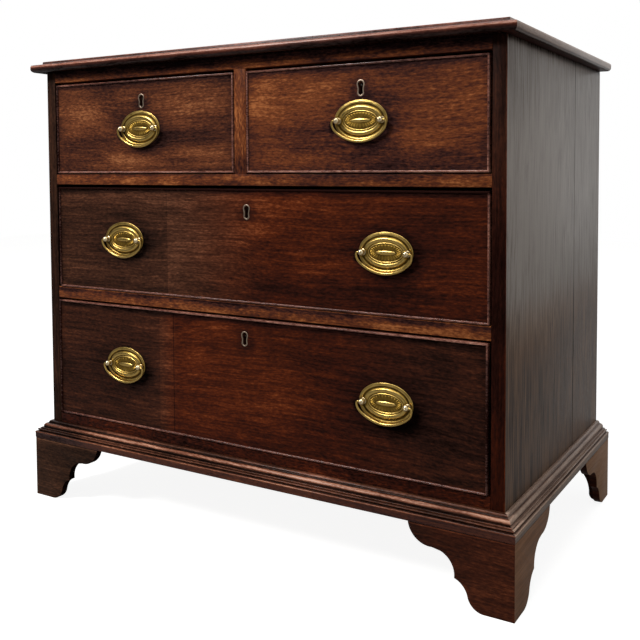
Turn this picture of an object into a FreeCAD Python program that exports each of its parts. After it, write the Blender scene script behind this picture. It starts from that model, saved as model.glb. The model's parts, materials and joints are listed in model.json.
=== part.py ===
"""A bachelors chest: two short drawers over two long ones, on bracket feet.

Sizes are millimetres.  +Z is up, the front faces -Y, and the origin is on the floor under
the middle of the chest.
"""
import FreeCAD
import Part
import math
import os
import re
from dataclasses import dataclass

import Sketcher
from FreeCAD import Placement, Rotation, Vector

# Driving dimensions: the alias of the cell, its value, and what it measures.
SIZES = (
    ("case_width", 880.0, "across the outside of the two sides"),
    ("case_depth", 476.0, "front of the rails to the back boards' outer face"),
    ("side_thick", 21.0, "side boards"),
    ("back_thick", 10.0, "back boards"),
    ("back_rebate", 10.0, "how far the back boards reach over the sides' edges"),
    ("back_gap", 1.0, "shrinkage gap between two back boards"),
    ("bottom_thick", 18.0, "bottom board of the case"),
    ("foot_height", 105.0, "floor to the underside of the case"),
    ("bottom_rail_high", 47.5, "rail under the bottom drawer"),
    ("bottom_opening", 212.0, "height of the bottom drawer's opening"),
    ("lower_rail_high", 20.0, "rail between the two long drawers"),
    ("middle_opening", 185.5, "height of the middle drawer's opening"),
    ("upper_rail_high", 18.0, "rail under the short drawers"),
    ("short_opening", 164.0, "height of the short drawers' openings"),
    ("top_rail_high", 19.0, "rail under the top board"),
    ("rail_depth", 60.0, "rails, front to back"),
    ("bottom_rail_depth", 20.0, "bottom rail, front to back"),
    ("muntin_width", 23.0, "upright between the short drawers"),
    ("tenon", 8.0, "length of the muntin's tenons"),
    ("housing", 6.0, "how deep rails and runners are let into the sides"),
    ("tongue_inset", 10.0, "front of a rail to its tongue"),
    ("runner_width", 22.0, "side runners, across"),
    ("runner_high", 18.0, "bottom drawer's runners"),
    ("dust_thick", 8.0, "dust boards"),
    ("dust_groove", 6.0, "how deep a dust board sits in a rail or runner"),
    ("dust_short", 12.0, "gap behind a dust board"),
    ("guide_high", 24.0, "centre guide between the short drawers"),
    ("stop_width", 50.0, "drawer stops, across"),
    ("stop_deep", 12.0, "drawer stops, front to back"),
    ("stop_high", 5.0, "drawer stops above the rail"),
    ("stop_clear", 0.3, "drawer front to its stop"),
    ("short_stop_apart", 100.0, "short drawer's middle to each stop"),
    ("long_stop_apart", 300.0, "long drawer's middle to each stop"),
    ("top_thick", 20.0, "top board"),
    ("top_reach", 19.8, "top board past the case"),
    ("top_nose", 7.5, "underside of the top board to its widest point"),
    ("top_step", 11.8, "nose of the top board to the step under its fillet"),
    ("top_fillet", 5.3, "fillet round the upper edge of the top board"),
    ("base_high", 30.5, "base moulding"),
    ("base_reach", 23.0, "base moulding past the case"),
    ("zone_reach", 30.0, "mitre zones past the case"),
    ("foot_reach", 22.0, "feet past the case"),
    ("foot_thick", 12.0, "bracket boards"),
    ("left_span", 157.0, "front bracket of the left foot"),
    ("right_span", 157.0, "front bracket of the right foot"),
    ("side_span", 150.0, "side brackets"),
    ("brace_span", 100.0, "braces across the back feet"),
    ("brace_thick", 16.0, "braces across the back feet"),
    ("block_size", 20.0, "glue blocks in the feet, across"),
    ("block_clear", 8.0, "front glue blocks above the floor"),
    ("back_block_clear", 45.0, "back glue blocks above the floor"),
    ("strip_long", 60.0, "glue strips along the brackets"),
    ("strip_size", 14.0, "glue strips, across"),
    ("front_thick", 20.0, "drawer fronts"),
    ("side_gap", 2.0, "drawer front to the side of its opening"),
    ("left_short_gap", 4.8, "left short drawer front to the left side"),
    ("muntin_gap", 1.0, "left short drawer front to the muntin"),
    ("right_short_gap", 3.0, "right short drawer front to the right side"),
    ("middle_gap", 6.2, "middle drawer front to the left side"),
    ("bottom_gap", 3.6, "bottom drawer front to the right side"),
    ("short_gap_below", 2.0, "short drawer front to the rail below"),
    ("short_gap_above", 4.7, "short drawer front to the rail above"),
    ("long_gap_below", 1.2, "long drawer front to the rail below"),
    ("middle_gap_above", 5.0, "middle drawer front to the rail above"),
    ("bottom_gap_above", 3.4, "bottom drawer front to the rail above"),
    ("bead_thick", 3.2, "cockbead"),
    ("bead_inset", 8.0, "how deep the cockbead is let in"),
    ("bead_proud", 2.5, "cockbead in front of the drawer front"),
    ("bead_round", 1.5, "rounding of the cockbead's nose"),
    ("drawer_depth", 440.0, "drawer, front to back"),
    ("drawer_side", 9.0, "drawer sides"),
    ("drawer_back", 8.0, "drawer backs"),
    ("drawer_clear", 0.3, "drawer side to its runner"),
    ("drawer_drop", 9.0, "top of a drawer side below the rail above it"),
    ("lap", 10.0, "wood left in front of a front's dovetails"),
    ("drawer_bottom", 7.0, "drawer bottoms"),
    ("bottom_up", 9.0, "drawer bottom above the sides' lower edges"),
    ("groove", 4.0, "grooves for the drawer bottoms"),
    ("handle_shift", 3.0, "handles right of their drawer's middle"),
    ("handle_apart", 256.0, "long drawer's middle to each handle"),
    ("short_handle_up", 77.0, "posts above the short drawers' rail"),
    ("middle_handle_up", 91.5, "posts above the middle drawer's rail"),
    ("bottom_handle_up", 106.5, "posts above the bottom drawer's rail"),
    ("short_key_up", 123.0, "keyhole above the short drawers' rail"),
    ("middle_key_up", 144.0, "keyhole above the middle drawer's rail"),
    ("bottom_key_up", 175.5, "keyhole above the bottom drawer's rail"),
    ("left_key_shift", 6.0, "keyhole right of the left short drawer's middle"),
    ("right_key_shift", 3.0, "keyhole right of the right short drawer's middle"),
    ("middle_key_shift", 10.8, "keyhole right of the middle drawer's middle"),
    ("bottom_key_shift", 5.0, "keyhole right of the bottom drawer's middle"),
    ("plate_width", 88.0, "handle plate"),
    ("plate_high", 60.0, "handle plate"),
    ("rim_width", 5.3, "flat rim of the handle plate, across"),
    ("band_width", 9.0, "raised band of the handle plate, across"),
    ("well_width", 1.9, "sunk line round the fluted oval"),
    ("bar_half", 3.2, "half the height of the bar across the fluted oval"),
    ("bar_reach", 16.2, "plate's middle to the end of the bar"),
    ("rim_thick", 1.2, "flat rim of the handle plate"),
    ("band_thick", 2.8, "raised band of the handle plate"),
    ("petal_thick", 2.0, "fluted oval in the middle of the plate"),
    ("bar_thick", 3.2, "raised bar across the fluted oval"),
    ("post_apart", 36.0, "plate's middle to each post"),
    ("post_ball", 4.8, "radius of a post's head"),
    ("post_collar", 4.6, "radius of a post's collar"),
    ("post_neck", 3.0, "radius of a post's neck"),
    ("post_tip", 1.5, "radius of a post's tip"),
    ("shank", 2.0, "radius of a post's shank"),
    ("nut_radius", 4.6, "nut behind the drawer front"),
    ("nut_thick", 3.0, "nut behind the drawer front"),
    ("bail_out", 8.0, "bail's axis in front of the drawer front"),
    ("bail_lean", 8.0, "a hanging bail's lean towards its plate, in degrees"),
    ("bail_rod", 2.0, "radius of the bail's rod"),
    ("bail_bore", 2.05, "radius of the bore in a post's head"),
    ("bail_half", 44.8, "middle of the bail to its side, on the rod's axis"),
    ("bail_drop", 30.2, "posts' axis down to the bail's lowest point, on the rod's axis"),
    ("bail_corner", 3.5, "bend beside each post"),
    ("bail_shoulder", 16.0, "bend at each side of the bail"),
    ("pin_end", 32.5, "plate's middle to the end of a bail's pin"),
    ("key_round", 3.6, "radius of the keyhole's round part"),
    ("key_slot", 4.8, "width of the keyhole's slot"),
    ("key_ring_up", 4.8, "plate's middle to the middle of the keyhole's round part"),
    ("key_drop", 9.0, "plate's middle to the lower end of the keyhole"),
    ("key_plate_half", 6.2, "half the width of the keyhole plate at its round top"),
    ("key_plate_waist", 5.2, "half the width of the keyhole plate at its waist"),
    ("key_plate_foot", 5.8, "half the width of the keyhole plate near its foot"),
    ("key_plate_up", 12.4, "plate's middle to its top"),
    ("key_plate_down", 12.2, "plate's middle to its lowest point"),
    ("key_plate_proud", 0.4, "keyhole plate in front of the drawer front"),
    ("key_plate_deep", 2.6, "keyhole plate let into the drawer front"),
    ("lock_half", 28.0, "half the width of a lock"),
    ("lock_high", 46.0, "lock, top to bottom"),
    ("lock_inset", 11.0, "drawer front's face to the lock"),
    ("selvedge_half", 33.0, "half the width of a lock's top plate"),
    ("lock_back", 1.0, "lock's back wall behind the end of the key pin"),
    ("selvedge_thick", 2.0, "lock's top plate"),
    ("selvedge_inset", 9.0, "drawer front's face to the lock's top plate"),
    ("key_pin", 1.3, "radius of the pin in the keyhole"),
    ("bolt_half", 10.0, "half the width of a bolt"),
    ("bolt_inset", 13.0, "drawer front's face to the bolt"),
    ("bolt_thick", 5.0, "bolt"),
    ("bolt_long", 25.0, "bolt"),
    ("bolt_below", 0.5, "top of a drawn bolt below the drawer front's edge"),
    ("bolt_clear", 0.3, "bolt in its lock"),
    ("bolt_room", 9.0, "room under a drawn bolt"),
    ("mortise_deep", 6.0, "bolt's mortise in the rail above"),
    ("mortise_clear", 1.2, "bolt to the sides of its mortise"),
)
BACK_BOARD_COUNT = 5

# Dovetails: one for about each TAIL_PITCH of height, with half widths as shares of the real pitch.
TAIL_PITCH = 48.0
TAIL_AT_SHOULDER = 0.28
TAIL_AT_TIP = 0.36
PIN_AT_EDGE = 0.08
PIN_AT_SHOULDER = 0.16

# Positions worked out from the sheet.
FRONT = "((base_reach - case_depth) / 2)"
BACK = "((base_reach + case_depth) / 2)"
BACK_INNER = f"({BACK} - back_thick)"
OUTER = "(case_width / 2)"
INNER = "(case_width / 2 - side_thick)"
HOUSED = f"({INNER} + housing)"
RAIL_BACK = f"({FRONT} + rail_depth)"
FRONT_BACK = f"({FRONT} + front_thick)"
BOTTOM_LOW = "(foot_height + bottom_rail_high)"
BOTTOM_HIGH = f"({BOTTOM_LOW} + bottom_opening)"
MIDDLE_LOW = f"({BOTTOM_HIGH} + lower_rail_high)"
MIDDLE_HIGH = f"({MIDDLE_LOW} + middle_opening)"
SHORT_LOW = f"({MIDDLE_HIGH} + upper_rail_high)"
SHORT_HIGH = f"({SHORT_LOW} + short_opening)"
CASE_TOP = f"({SHORT_HIGH} + top_rail_high)"
FLOOR_TOP = f"({BOTTOM_LOW} - runner_high)"
FLOOR_LOW = f"({FLOOR_TOP} - bottom_thick)"
ZONE_TOP = "(foot_height + 2 * base_high)"

ALIASES = re.compile(r"\b(" + "|".join(alias for alias, _, _ in SIZES) + r")\b")

doc = FreeCAD.newDocument("BachelorsChest")
sheet = doc.addObject("Spreadsheet::Sheet", "Sizes")
finished = []


@dataclass(frozen=True)
class Drawer:
    """Where one drawer sits and where its brass goes, as sheet expressions."""

    name: str
    opening_x: tuple
    opening_z: tuple
    gap_left: str
    gap_right: str
    gap_below: str
    gap_above: str
    handles: dict
    handle_z: str
    key_x: str
    key_z: str
    opening_alias: str

    @property
    def left(self):
        """Left edge of the drawer."""
        return f"({self.opening_x[0]} + {self.gap_left})"

    @property
    def right(self):
        """Right edge of the drawer."""
        return f"({self.opening_x[1]} - {self.gap_right})"

    @property
    def low(self):
        """Lower edge of the drawer front."""
        return f"({self.opening_z[0]} + {self.gap_below})"

    @property
    def high(self):
        """Upper edge of the drawer front."""
        return f"({self.opening_z[1]} - {self.gap_above})"

    @property
    def side_low(self):
        """Lower edge of the drawer sides."""
        return f"({self.opening_z[0]} + drawer_clear)"

    @property
    def side_high(self):
        """Upper edge of the drawer sides."""
        return f"({self.opening_z[1]} - drawer_drop)"


def short_drawer(name, low_x, high_x, gap_left, gap_right, key_shift):
    """One of the two short drawers, with a single handle."""
    middle = f"(({low_x}) + ({high_x})) / 2"
    return Drawer(
        name=name,
        opening_x=(low_x, high_x),
        opening_z=(SHORT_LOW, SHORT_HIGH),
        gap_left=gap_left,
        gap_right=gap_right,
        gap_below="short_gap_below",
        gap_above="short_gap_above",
        handles={name + "_bail": f"{middle} + handle_shift"},
        handle_z=f"{SHORT_LOW} + short_handle_up",
        key_x=f"({middle} + {key_shift})",
        key_z=f"({SHORT_LOW} + short_key_up)",
        opening_alias="short_opening",
    )


def long_drawer(name, level, opening_z, gap_left, gap_right):
    """One of the two long drawers, with a handle at each side."""
    return Drawer(
        name=name,
        opening_x=(f"(-{INNER})", INNER),
        opening_z=opening_z,
        gap_left=gap_left,
        gap_right=gap_right,
        gap_below="long_gap_below",
        gap_above=level + "_gap_above",
        handles={
            name + "_left_bail": "handle_shift - handle_apart",
            name + "_right_bail": "handle_shift + handle_apart",
        },
        handle_z=f"{opening_z[0]} + {level}_handle_up",
        key_x=f"({level}_key_shift)",
        key_z=f"({opening_z[0]} + {level}_key_up)",
        opening_alias=level + "_opening",
    )


LEFT_SHORT = short_drawer(
    "left_short_drawer",
    f"(-{INNER})",
    "(-muntin_width / 2)",
    "left_short_gap",
    "muntin_gap",
    "left_key_shift",
)
RIGHT_SHORT = short_drawer(
    "right_short_drawer",
    "(muntin_width / 2)",
    INNER,
    "side_gap",
    "right_short_gap",
    "right_key_shift",
)
MIDDLE = long_drawer("middle_drawer", "middle", (MIDDLE_LOW, MIDDLE_HIGH), "middle_gap", "side_gap")
BOTTOM = long_drawer("bottom_drawer", "bottom", (BOTTOM_LOW, BOTTOM_HIGH), "side_gap", "bottom_gap")


# ---------------------------------------------------------------- sheet and small helpers


def fill_sheet():
    """Write the driving dimensions into the document's spreadsheet."""
    for row, (alias, number, note) in enumerate(SIZES, start=1):
        sheet.set(f"A{row}", alias)
        sheet.set(f"B{row}", str(number))
        sheet.set(f"C{row}", note)
        sheet.setAlias(f"B{row}", alias)
    doc.recompute()


def size(alias):
    """Read one dimension from the sheet, for a sketch's own points."""
    return float(sheet.get(alias))


def bind(piece, target, expression):
    """Tie a property to an expression in which each alias means its cell."""
    piece.setExpression(target, ALIASES.sub(r"Sizes.\1", str(expression)))


def place(piece, base, turn=Rotation()):
    """Give a piece its turn, and tie its position to three expressions."""
    piece.Placement = Placement(Vector(), turn)
    for axis, expression in zip("xyz", base):
        bind(piece, f"Placement.Base.{axis}", expression)


def yaw(degrees):
    """A turn about the vertical."""
    return Rotation(Vector(0, 0, 1), degrees)


def board(name, x, y, z):
    """A straight board between pairs of x, y and z positions."""
    piece = doc.addObject("Part::Box", name)
    for side, (low, high) in (("Length", x), ("Width", y), ("Height", z)):
        bind(piece, side, f"({high}) - ({low})")
    place(piece, (x[0], y[0], z[0]))
    return piece


def rod(name, radius, y, x, z):
    """A round rod along Y between two y positions."""
    piece = doc.addObject("Part::Cylinder", name)
    bind(piece, "Radius", radius)
    bind(piece, "Height", f"({y[1]}) - ({y[0]})")
    place(piece, (x, y[1], z), Rotation(Vector(1, 0, 0), 90))
    return piece


def join(name, pieces):
    """One solid from pieces of the same board."""
    whole = doc.addObject("Part::MultiFuse", name)
    whole.Shapes = pieces
    whole.Refine = True
    return whole


def carve(name, blank, tools):
    """Cut each tool out of a blank in turn."""
    for number, tool in enumerate(tools, start=1):
        cut = doc.addObject("Part::Cut", f"{name}_cut_{number}")
        cut.Base = blank
        cut.Tool = tool
        blank = cut
    return blank


def overlap(name, first, second):
    """What two pieces have in common."""
    common = doc.addObject("Part::Common", name)
    common.Base = first
    common.Tool = second
    return common


def mirrored(name, piece):
    """The same piece on the other side of the chest."""
    twin = doc.addObject("Part::Mirroring", name)
    twin.Source = piece
    twin.Normal = Vector(1, 0, 0)
    return twin


def group(name, pieces):
    """Separate solids kept in one sub-part."""
    whole = doc.addObject("Part::Compound", name)
    whole.Links = pieces
    return whole


def keep(label, piece):
    """Mark a piece as a sub-part; its label names its file."""
    piece.Label = label
    finished.append(piece)
    return piece


# ---------------------------------------------------------------- sketched pieces


def flat(point):
    """A sketch point as a vector."""
    return Vector(point[0], point[1], 0)


def trace(outline, closed=True):
    """Curves of an outline: a point ends a line, a (via, end) pair ends an arc."""
    curves = []
    here = outline[0]
    for step in outline[1:] + outline[:1] * closed:
        if isinstance(step[0], tuple):
            via, end = step
            curves.append(Part.Arc(flat(here), flat(via), flat(end)))
        elif step != here:
            end = step
            curves.append(Part.LineSegment(flat(here), flat(end)))
        here = end
    return curves


def add_sketch(body, name, curves, plane="XZ_Plane"):
    """A sketch of blocked curves on one of the body's own origin planes."""
    sketch = body.newObject("Sketcher::SketchObject", name)
    support = next(item for item in body.Origin.OriginFeatures if item.Role == plane)
    sketch.AttachmentSupport = [(support, "")]
    sketch.MapMode = "FlatFace"
    for curve in curves:
        sketch.addConstraint(Sketcher.Constraint("Block", sketch.addGeometry(curve)))
    return sketch


def add_pad(body, name, curves, length):
    """Pad a sketch on the XZ plane towards the body's -Y."""
    pad = body.newObject("PartDesign::Pad", name)
    pad.Profile = add_sketch(body, name + "_sketch", curves)
    bind(pad, "Length", length)
    return pad


def shaped(name, outline, length, base, turn=Rotation()):
    """A board or moulding with an outline in X and Z, run towards -Y, then turned."""
    body = doc.addObject("PartDesign::Body", name)
    add_pad(body, name + "_pad", trace(outline), length)
    place(body, base, turn)
    return body


def swing(centre, radius, middle, end):
    """An arc step about a centre, through one angle to another, in degrees."""
    points = []
    for angle in (middle, end):
        turn = math.radians(angle)
        points.append((centre[0] + radius * math.cos(turn), centre[1] + radius * math.sin(turn)))
    return tuple(points)


# ---------------------------------------------------------------- case


def rail(name, low, high, depth):
    """A rail between the sides, with tongues that run into their housings."""
    back = f"{FRONT} + {depth}"
    span = board(name + "_span", (f"-{INNER}", INNER), (FRONT, back), (low, high))
    tongues = board(
        name + "_tongues", (f"-{HOUSED}", HOUSED), (f"{FRONT} + tongue_inset", back), (low, high)
    )
    return join(name + "_blank", [span, tongues])


def make_side():
    """The right side board, with its housings and the rebate for the back boards."""
    tall = ("foot_height", CASE_TOP)
    blank = board("side_blank", (INNER, OUTER), (FRONT, BACK), tall)
    housed = (INNER, HOUSED)
    behind_tongue = (f"{FRONT} + tongue_inset", BACK_INNER)
    tools = [
        board("side_rebate", (INNER, f"{INNER} + back_rebate"), (BACK_INNER, BACK), tall),
        board("top_housing", housed, behind_tongue, (SHORT_HIGH, CASE_TOP)),
        board("upper_housing", housed, behind_tongue, (MIDDLE_HIGH, SHORT_LOW)),
        board("lower_housing", housed, behind_tongue, (BOTTOM_HIGH, MIDDLE_LOW)),
        board(
            "floor_housing",
            housed,
            (f"{FRONT} + bottom_rail_depth", BACK_INNER),
            (FLOOR_LOW, BOTTOM_LOW),
        ),
        board(
            "bottom_rail_housing",
            housed,
            (f"{FRONT} + tongue_inset", f"{FRONT} + bottom_rail_depth"),
            ("foot_height", BOTTOM_LOW),
        ),
    ]
    return carve("side", blank, tools)


def make_back_boards():
    """Upright boards in the rebates, with a small gap between each two."""
    step = f"(2 * ({INNER} + back_rebate) + back_gap) / {BACK_BOARD_COUNT}"
    boards = []
    for number in range(BACK_BOARD_COUNT):
        left = f"-({INNER} + back_rebate) + {number} * {step}"
        boards.append(
            board(
                f"back_board_{number + 1}",
                (left, f"{left} + {step} - back_gap"),
                (BACK_INNER, BACK),
                ("foot_height", CASE_TOP),
            )
        )
    return group("back_board_set", boards)


def make_dust_boards():
    """Thin boards that close the space between two drawer levels."""
    edge = f"({INNER} - runner_width + dust_groove)"
    depth = (f"{RAIL_BACK} - dust_groove", f"{BACK_INNER} - dust_short")
    upper_low = f"({MIDDLE_HIGH} + (upper_rail_high - dust_thick) / 2)"
    lower_low = f"({BOTTOM_HIGH} + (lower_rail_high - dust_thick) / 2)"
    centre_edge = "(muntin_width / 2 + runner_width - dust_groove)"
    right = board("dust_right", (centre_edge, edge), depth, (upper_low, f"{upper_low} + dust_thick"))
    left = mirrored("dust_left", right)
    lower = board("dust_lower", (f"-{edge}", edge), depth, (lower_low, f"{lower_low} + dust_thick"))
    return right, left, lower


def side_runners(name, low, high, start, tools):
    """A pair of runners, or kickers, against the two sides."""
    blank = board(name, (f"{INNER} - runner_width", HOUSED), (start, BACK_INNER), (low, high))
    right = carve(name + "_right", blank, tools)
    return [right, mirrored(name + "_left", right)]


def centre_runner(name, low, high, tools):
    """A wide runner, or kicker, behind the muntin."""
    edge = "(muntin_width / 2 + runner_width)"
    blank = board(name, (f"-{edge}", edge), (RAIL_BACK, BACK_INNER), (low, high))
    return carve(name, blank, tools)


def make_stops():
    """Small blocks that stop each drawer front in line with the rails."""
    stops = []
    rows = (
        (LEFT_SHORT, "short_stop_apart", SHORT_LOW),
        (RIGHT_SHORT, "short_stop_apart", SHORT_LOW),
        (MIDDLE, "long_stop_apart", MIDDLE_LOW),
        (BOTTOM, "long_stop_apart", FLOOR_TOP),
    )
    start = f"({FRONT_BACK} + stop_clear)"
    for drawer, apart, low in rows:
        for side in ("-", "+"):
            middle = f"(({drawer.left} + {drawer.right}) / 2 {side} {apart})"
            stops.append(
                board(
                    f"stop_{len(stops) + 1}",
                    (f"{middle} - stop_width / 2", f"{middle} + stop_width / 2"),
                    (start, f"{start} + stop_deep"),
                    (low, f"{drawer.opening_z[0]} + stop_high"),
                )
            )
    return group("stop_set", stops)


def bolt_mortise(drawer):
    """The pocket for a drawer's bolt in the rail above it."""
    reach = "(bolt_half + mortise_clear)"
    return board(
        drawer.name + "_bolt_mortise",
        (f"{drawer.key_x} - {reach}", f"{drawer.key_x} + {reach}"),
        (
            f"{FRONT} + bolt_inset - mortise_clear",
            f"{FRONT} + bolt_inset + bolt_thick + mortise_clear",
        ),
        (drawer.opening_z[1], f"{drawer.opening_z[1]} + mortise_deep"),
    )


def make_case():
    """Sides, rails, muntin, runners, dust boards, back, bottom and stops."""
    side = keep("side_right", make_side())
    keep("side_left", mirrored("side_twin", side))
    keep("back_boards", make_back_boards())
    floor_x = (f"-{HOUSED}", HOUSED)
    floor_y = (f"{FRONT} + bottom_rail_depth", BACK_INNER)
    keep("bottom_board", board("floor_board", floor_x, floor_y, (FLOOR_LOW, FLOOR_TOP)))

    muntin_half = "(muntin_width / 2)"
    muntin_x = (f"-{muntin_half}", muntin_half)
    post = board("muntin_post", muntin_x, (FRONT, RAIL_BACK), (SHORT_LOW, SHORT_HIGH))
    tenons = board(
        "muntin_tenons",
        (f"-{muntin_half} / 2", f"{muntin_half} / 2"),
        (f"{FRONT} + rail_depth / 4", f"{RAIL_BACK} - rail_depth / 4"),
        (f"{SHORT_LOW} - tenon", f"{SHORT_HIGH} + tenon"),
    )
    muntin = keep("muntin", join("muntin_blank", [post, tenons]))
    guide_z = (SHORT_LOW, f"{SHORT_LOW} + guide_high")
    keep("centre_guide", board("guide", muntin_x, (RAIL_BACK, BACK_INNER), guide_z))

    dust_right, dust_left, dust_lower = make_dust_boards()
    keep("dust_boards", group("dust_set", [dust_right, dust_left, dust_lower]))

    top = rail("top_rail", SHORT_HIGH, CASE_TOP, "rail_depth")
    keep("top_rail", carve("top_rail", top, [muntin, bolt_mortise(LEFT_SHORT), bolt_mortise(RIGHT_SHORT)]))
    upper = rail("upper_rail", MIDDLE_HIGH, SHORT_LOW, "rail_depth")
    keep("upper_rail", carve("upper_rail", upper, [muntin, dust_right, dust_left, bolt_mortise(MIDDLE)]))
    lower = rail("lower_rail", BOTTOM_HIGH, MIDDLE_LOW, "rail_depth")
    keep("lower_rail", carve("lower_rail", lower, [dust_lower, bolt_mortise(BOTTOM)]))
    keep("bottom_rail", rail("bottom_rail", "foot_height", BOTTOM_LOW, "bottom_rail_depth"))

    runners = side_runners("upper_runner", MIDDLE_HIGH, SHORT_LOW, RAIL_BACK, [dust_right])
    runners.append(centre_runner("centre_runner", MIDDLE_HIGH, SHORT_LOW, [dust_right, dust_left]))
    runners += side_runners("lower_runner", BOTTOM_HIGH, MIDDLE_LOW, RAIL_BACK, [dust_lower])
    runners += side_runners("bottom_runner", FLOOR_TOP, BOTTOM_LOW, f"{FRONT} + bottom_rail_depth", [])
    runners += side_runners("kicker", SHORT_HIGH, CASE_TOP, RAIL_BACK, [])
    runners.append(centre_runner("centre_kicker", SHORT_HIGH, CASE_TOP, []))
    keep("drawer_runners", group("runner_set", runners))
    keep("drawer_stops", make_stops())


# ---------------------------------------------------------------- top, base moulding and feet


def top_edge():
    """Edge of the top board, out from the case and up from the underside.

    A thumb moulding with a small fillet above it.
    """
    reach = size("top_reach")
    nose = size("top_nose")
    step = reach - size("top_step")
    shelf = size("top_thick") - size("top_fillet")
    fillet = step - 2.5
    return [
        (reach - 5.8, 0.0),
        ((reach - 1.7, nose - 5.5), (reach, nose)),
        ((reach - 0.2, nose + 3.0), (reach - 1.1, nose + 5.3)),
        ((reach - 5.6, shelf - 0.6), (step, shelf)),
        (fillet, shelf),
        (fillet - 1.0, size("top_thick")),
    ]


def make_top():
    """The top board: its front and side edges are moulded and its back edge is flush."""
    thick = size("top_thick")
    deep = size("case_depth")
    wide = size("case_width") + size("zone_reach")
    across = shaped(
        "top_front_run",
        top_edge() + [(-deep, thick), (-deep, 0.0)],
        "case_width + 2 * top_reach",
        (f"{OUTER} + top_reach", FRONT, CASE_TOP),
        yaw(-90),
    )
    along = shaped(
        "top_side_run",
        top_edge() + [(-wide, thick), (-wide, 0.0)],
        "case_depth + top_reach",
        (OUTER, BACK, CASE_TOP),
    )
    one_side = overlap("top_right", across, along)
    keep("top_board", overlap("top_both", one_side, mirrored("top_left_run", along)))


def base_profile():
    """Base moulding, out from the case and up from its lower edge.

    From the top: a bead, a broad torus, two small beads, a groove, and a plain fascia with
    a half-round along its top.
    """
    high = size("base_high")
    reach = size("base_reach")
    fascia = reach - 0.5
    return [
        (0.0, 0.0),
        (0.0, high),
        (1.5, high),
        ((4.9, high - 1.3), (6.0, high - 4.0)),
        (6.5, high - 4.5),
        ((11.2, high - 6.7), (12.4, high - 10.0)),
        (12.0, high - 11.9),
        (14.8, high - 11.9),
        ((16.0, high - 12.9), (15.4, high - 14.0)),
        (18.2, high - 14.0),
        ((19.8, high - 15.0), (19.2, high - 16.2)),
        (18.6, high - 16.6),
        (18.6, high - 18.0),
        (20.2, high - 18.0),
        ((reach - 0.7, high - 18.6), (reach, high - 20.0)),
        (fascia, high - 21.6),
        (fascia, 1.6),
        ((fascia - 0.5, 0.5), (fascia - 1.6, 0.0)),
    ]


def mitre_zone(name, length, near_flare, far_flare, base, turn):
    """The space of one moulding strip, with mitred ends where it flares."""
    zone = doc.addObject("Part::Wedge", name)
    corners = {
        "Xmin": 0,
        "Xmax": length,
        "Ymin": 0,
        "Ymax": "zone_reach",
        "Zmin": 0,
        "Zmax": ZONE_TOP,
        "X2min": f"-{near_flare}",
        "X2max": f"{length} + {far_flare}",
        "Z2min": 0,
        "Z2max": ZONE_TOP,
    }
    for corner, expression in corners.items():
        bind(zone, corner, expression)
    place(zone, base, turn)
    return zone


def make_base(front_zone, side_zone):
    """Three mitred strips of base moulding."""
    across = shaped(
        "base_front_run",
        base_profile(),
        "case_width + 2 * base_reach",
        (f"{OUTER} + base_reach", FRONT, "foot_height"),
        yaw(-90),
    )
    along = shaped("base_side_run", base_profile(), "case_depth + base_reach", (OUTER, BACK, "foot_height"))
    keep("base_moulding_front", overlap("base_front", across, front_zone))
    right = keep("base_moulding_right", overlap("base_right", along, side_zone))
    keep("base_moulding_left", mirrored("base_left", right))


def bracket_outline(span):
    """Front view of a bracket, from its outer corner inwards.

    An ogee shoulder, a cusp, and a cove down to a rounded toe.
    """
    high = size("foot_height")
    return [
        (0.0, 0.0),
        (0.0, high),
        (span, high),
        ((span - 9.5, high - 19.0), (span - 37.0, high - 29.2)),
        (span - 50.0, high - 31.5),
        ((span - 63.5, high - 41.0), (span - 70.5, high - 64.5)),
        ((span - 84.0, high - 73.5), (span - 90.5, high - 87.5)),
        ((span - 98.0, high - 99.0), (span - 113.0, 0.0)),
    ]


def brace_outline():
    """Plain brace across a back foot: a hollow sloping inner edge down to a rounded toe."""
    high = size("foot_height")
    span = size("brace_span")
    return [
        (0.0, 0.0),
        (0.0, high),
        (span, high),
        (span, high - 8.0),
        ((span - 52.0, high - 35.0), (span - 78.0, high - 63.0)),
        ((span - 84.0, high - 75.0), (span - 87.0, high - 95.0)),
        ((span - 90.2, high - 101.8), (span - 97.0, 0.0)),
    ]


def make_feet(front_zone, side_zone):
    """Four bracket feet, each with a mitred corner in front and a brace behind."""
    inset = "(foot_reach - foot_thick)"
    left_front = shaped(
        "left_front_bracket",
        bracket_outline(size("left_span")),
        "foot_thick",
        (f"-{OUTER} - foot_reach", f"{FRONT} - {inset}", 0),
    )
    right_front = shaped(
        "right_front_bracket",
        bracket_outline(size("right_span")),
        "foot_thick",
        (f"{OUTER} + foot_reach", f"{FRONT} - foot_reach", 0),
        yaw(180),
    )
    side_outline = bracket_outline(size("side_span"))
    side_front = shaped(
        "side_front_bracket",
        side_outline,
        "foot_thick",
        (f"{OUTER} + {inset}", f"{FRONT} - foot_reach", 0),
        yaw(90),
    )
    side_back = shaped(
        "side_back_bracket",
        side_outline,
        "foot_thick",
        (f"{OUTER} + foot_reach", BACK, 0),
        yaw(-90),
    )
    brace = shaped(
        "back_brace",
        brace_outline(),
        "brace_thick",
        (f"{OUTER} + {inset}", f"{BACK} - block_size - brace_thick", 0),
        yaw(180),
    )
    mitred_side = overlap("mitred_side", side_front, side_zone)
    mitred_left = overlap("mitred_left", left_front, front_zone)
    mitred_right = overlap("mitred_right", right_front, front_zone)
    keep("foot_front_right", group("front_right_pair", [mitred_right, mitred_side]))
    mitred_twin = mirrored("mitred_side_left", mitred_side)
    keep("foot_front_left", group("front_left_pair", [mitred_left, mitred_twin]))
    back_pair = keep("foot_back_right", group("back_right_pair", [side_back, brace]))
    keep("foot_back_left", mirrored("back_left_pair", back_pair))


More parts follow.
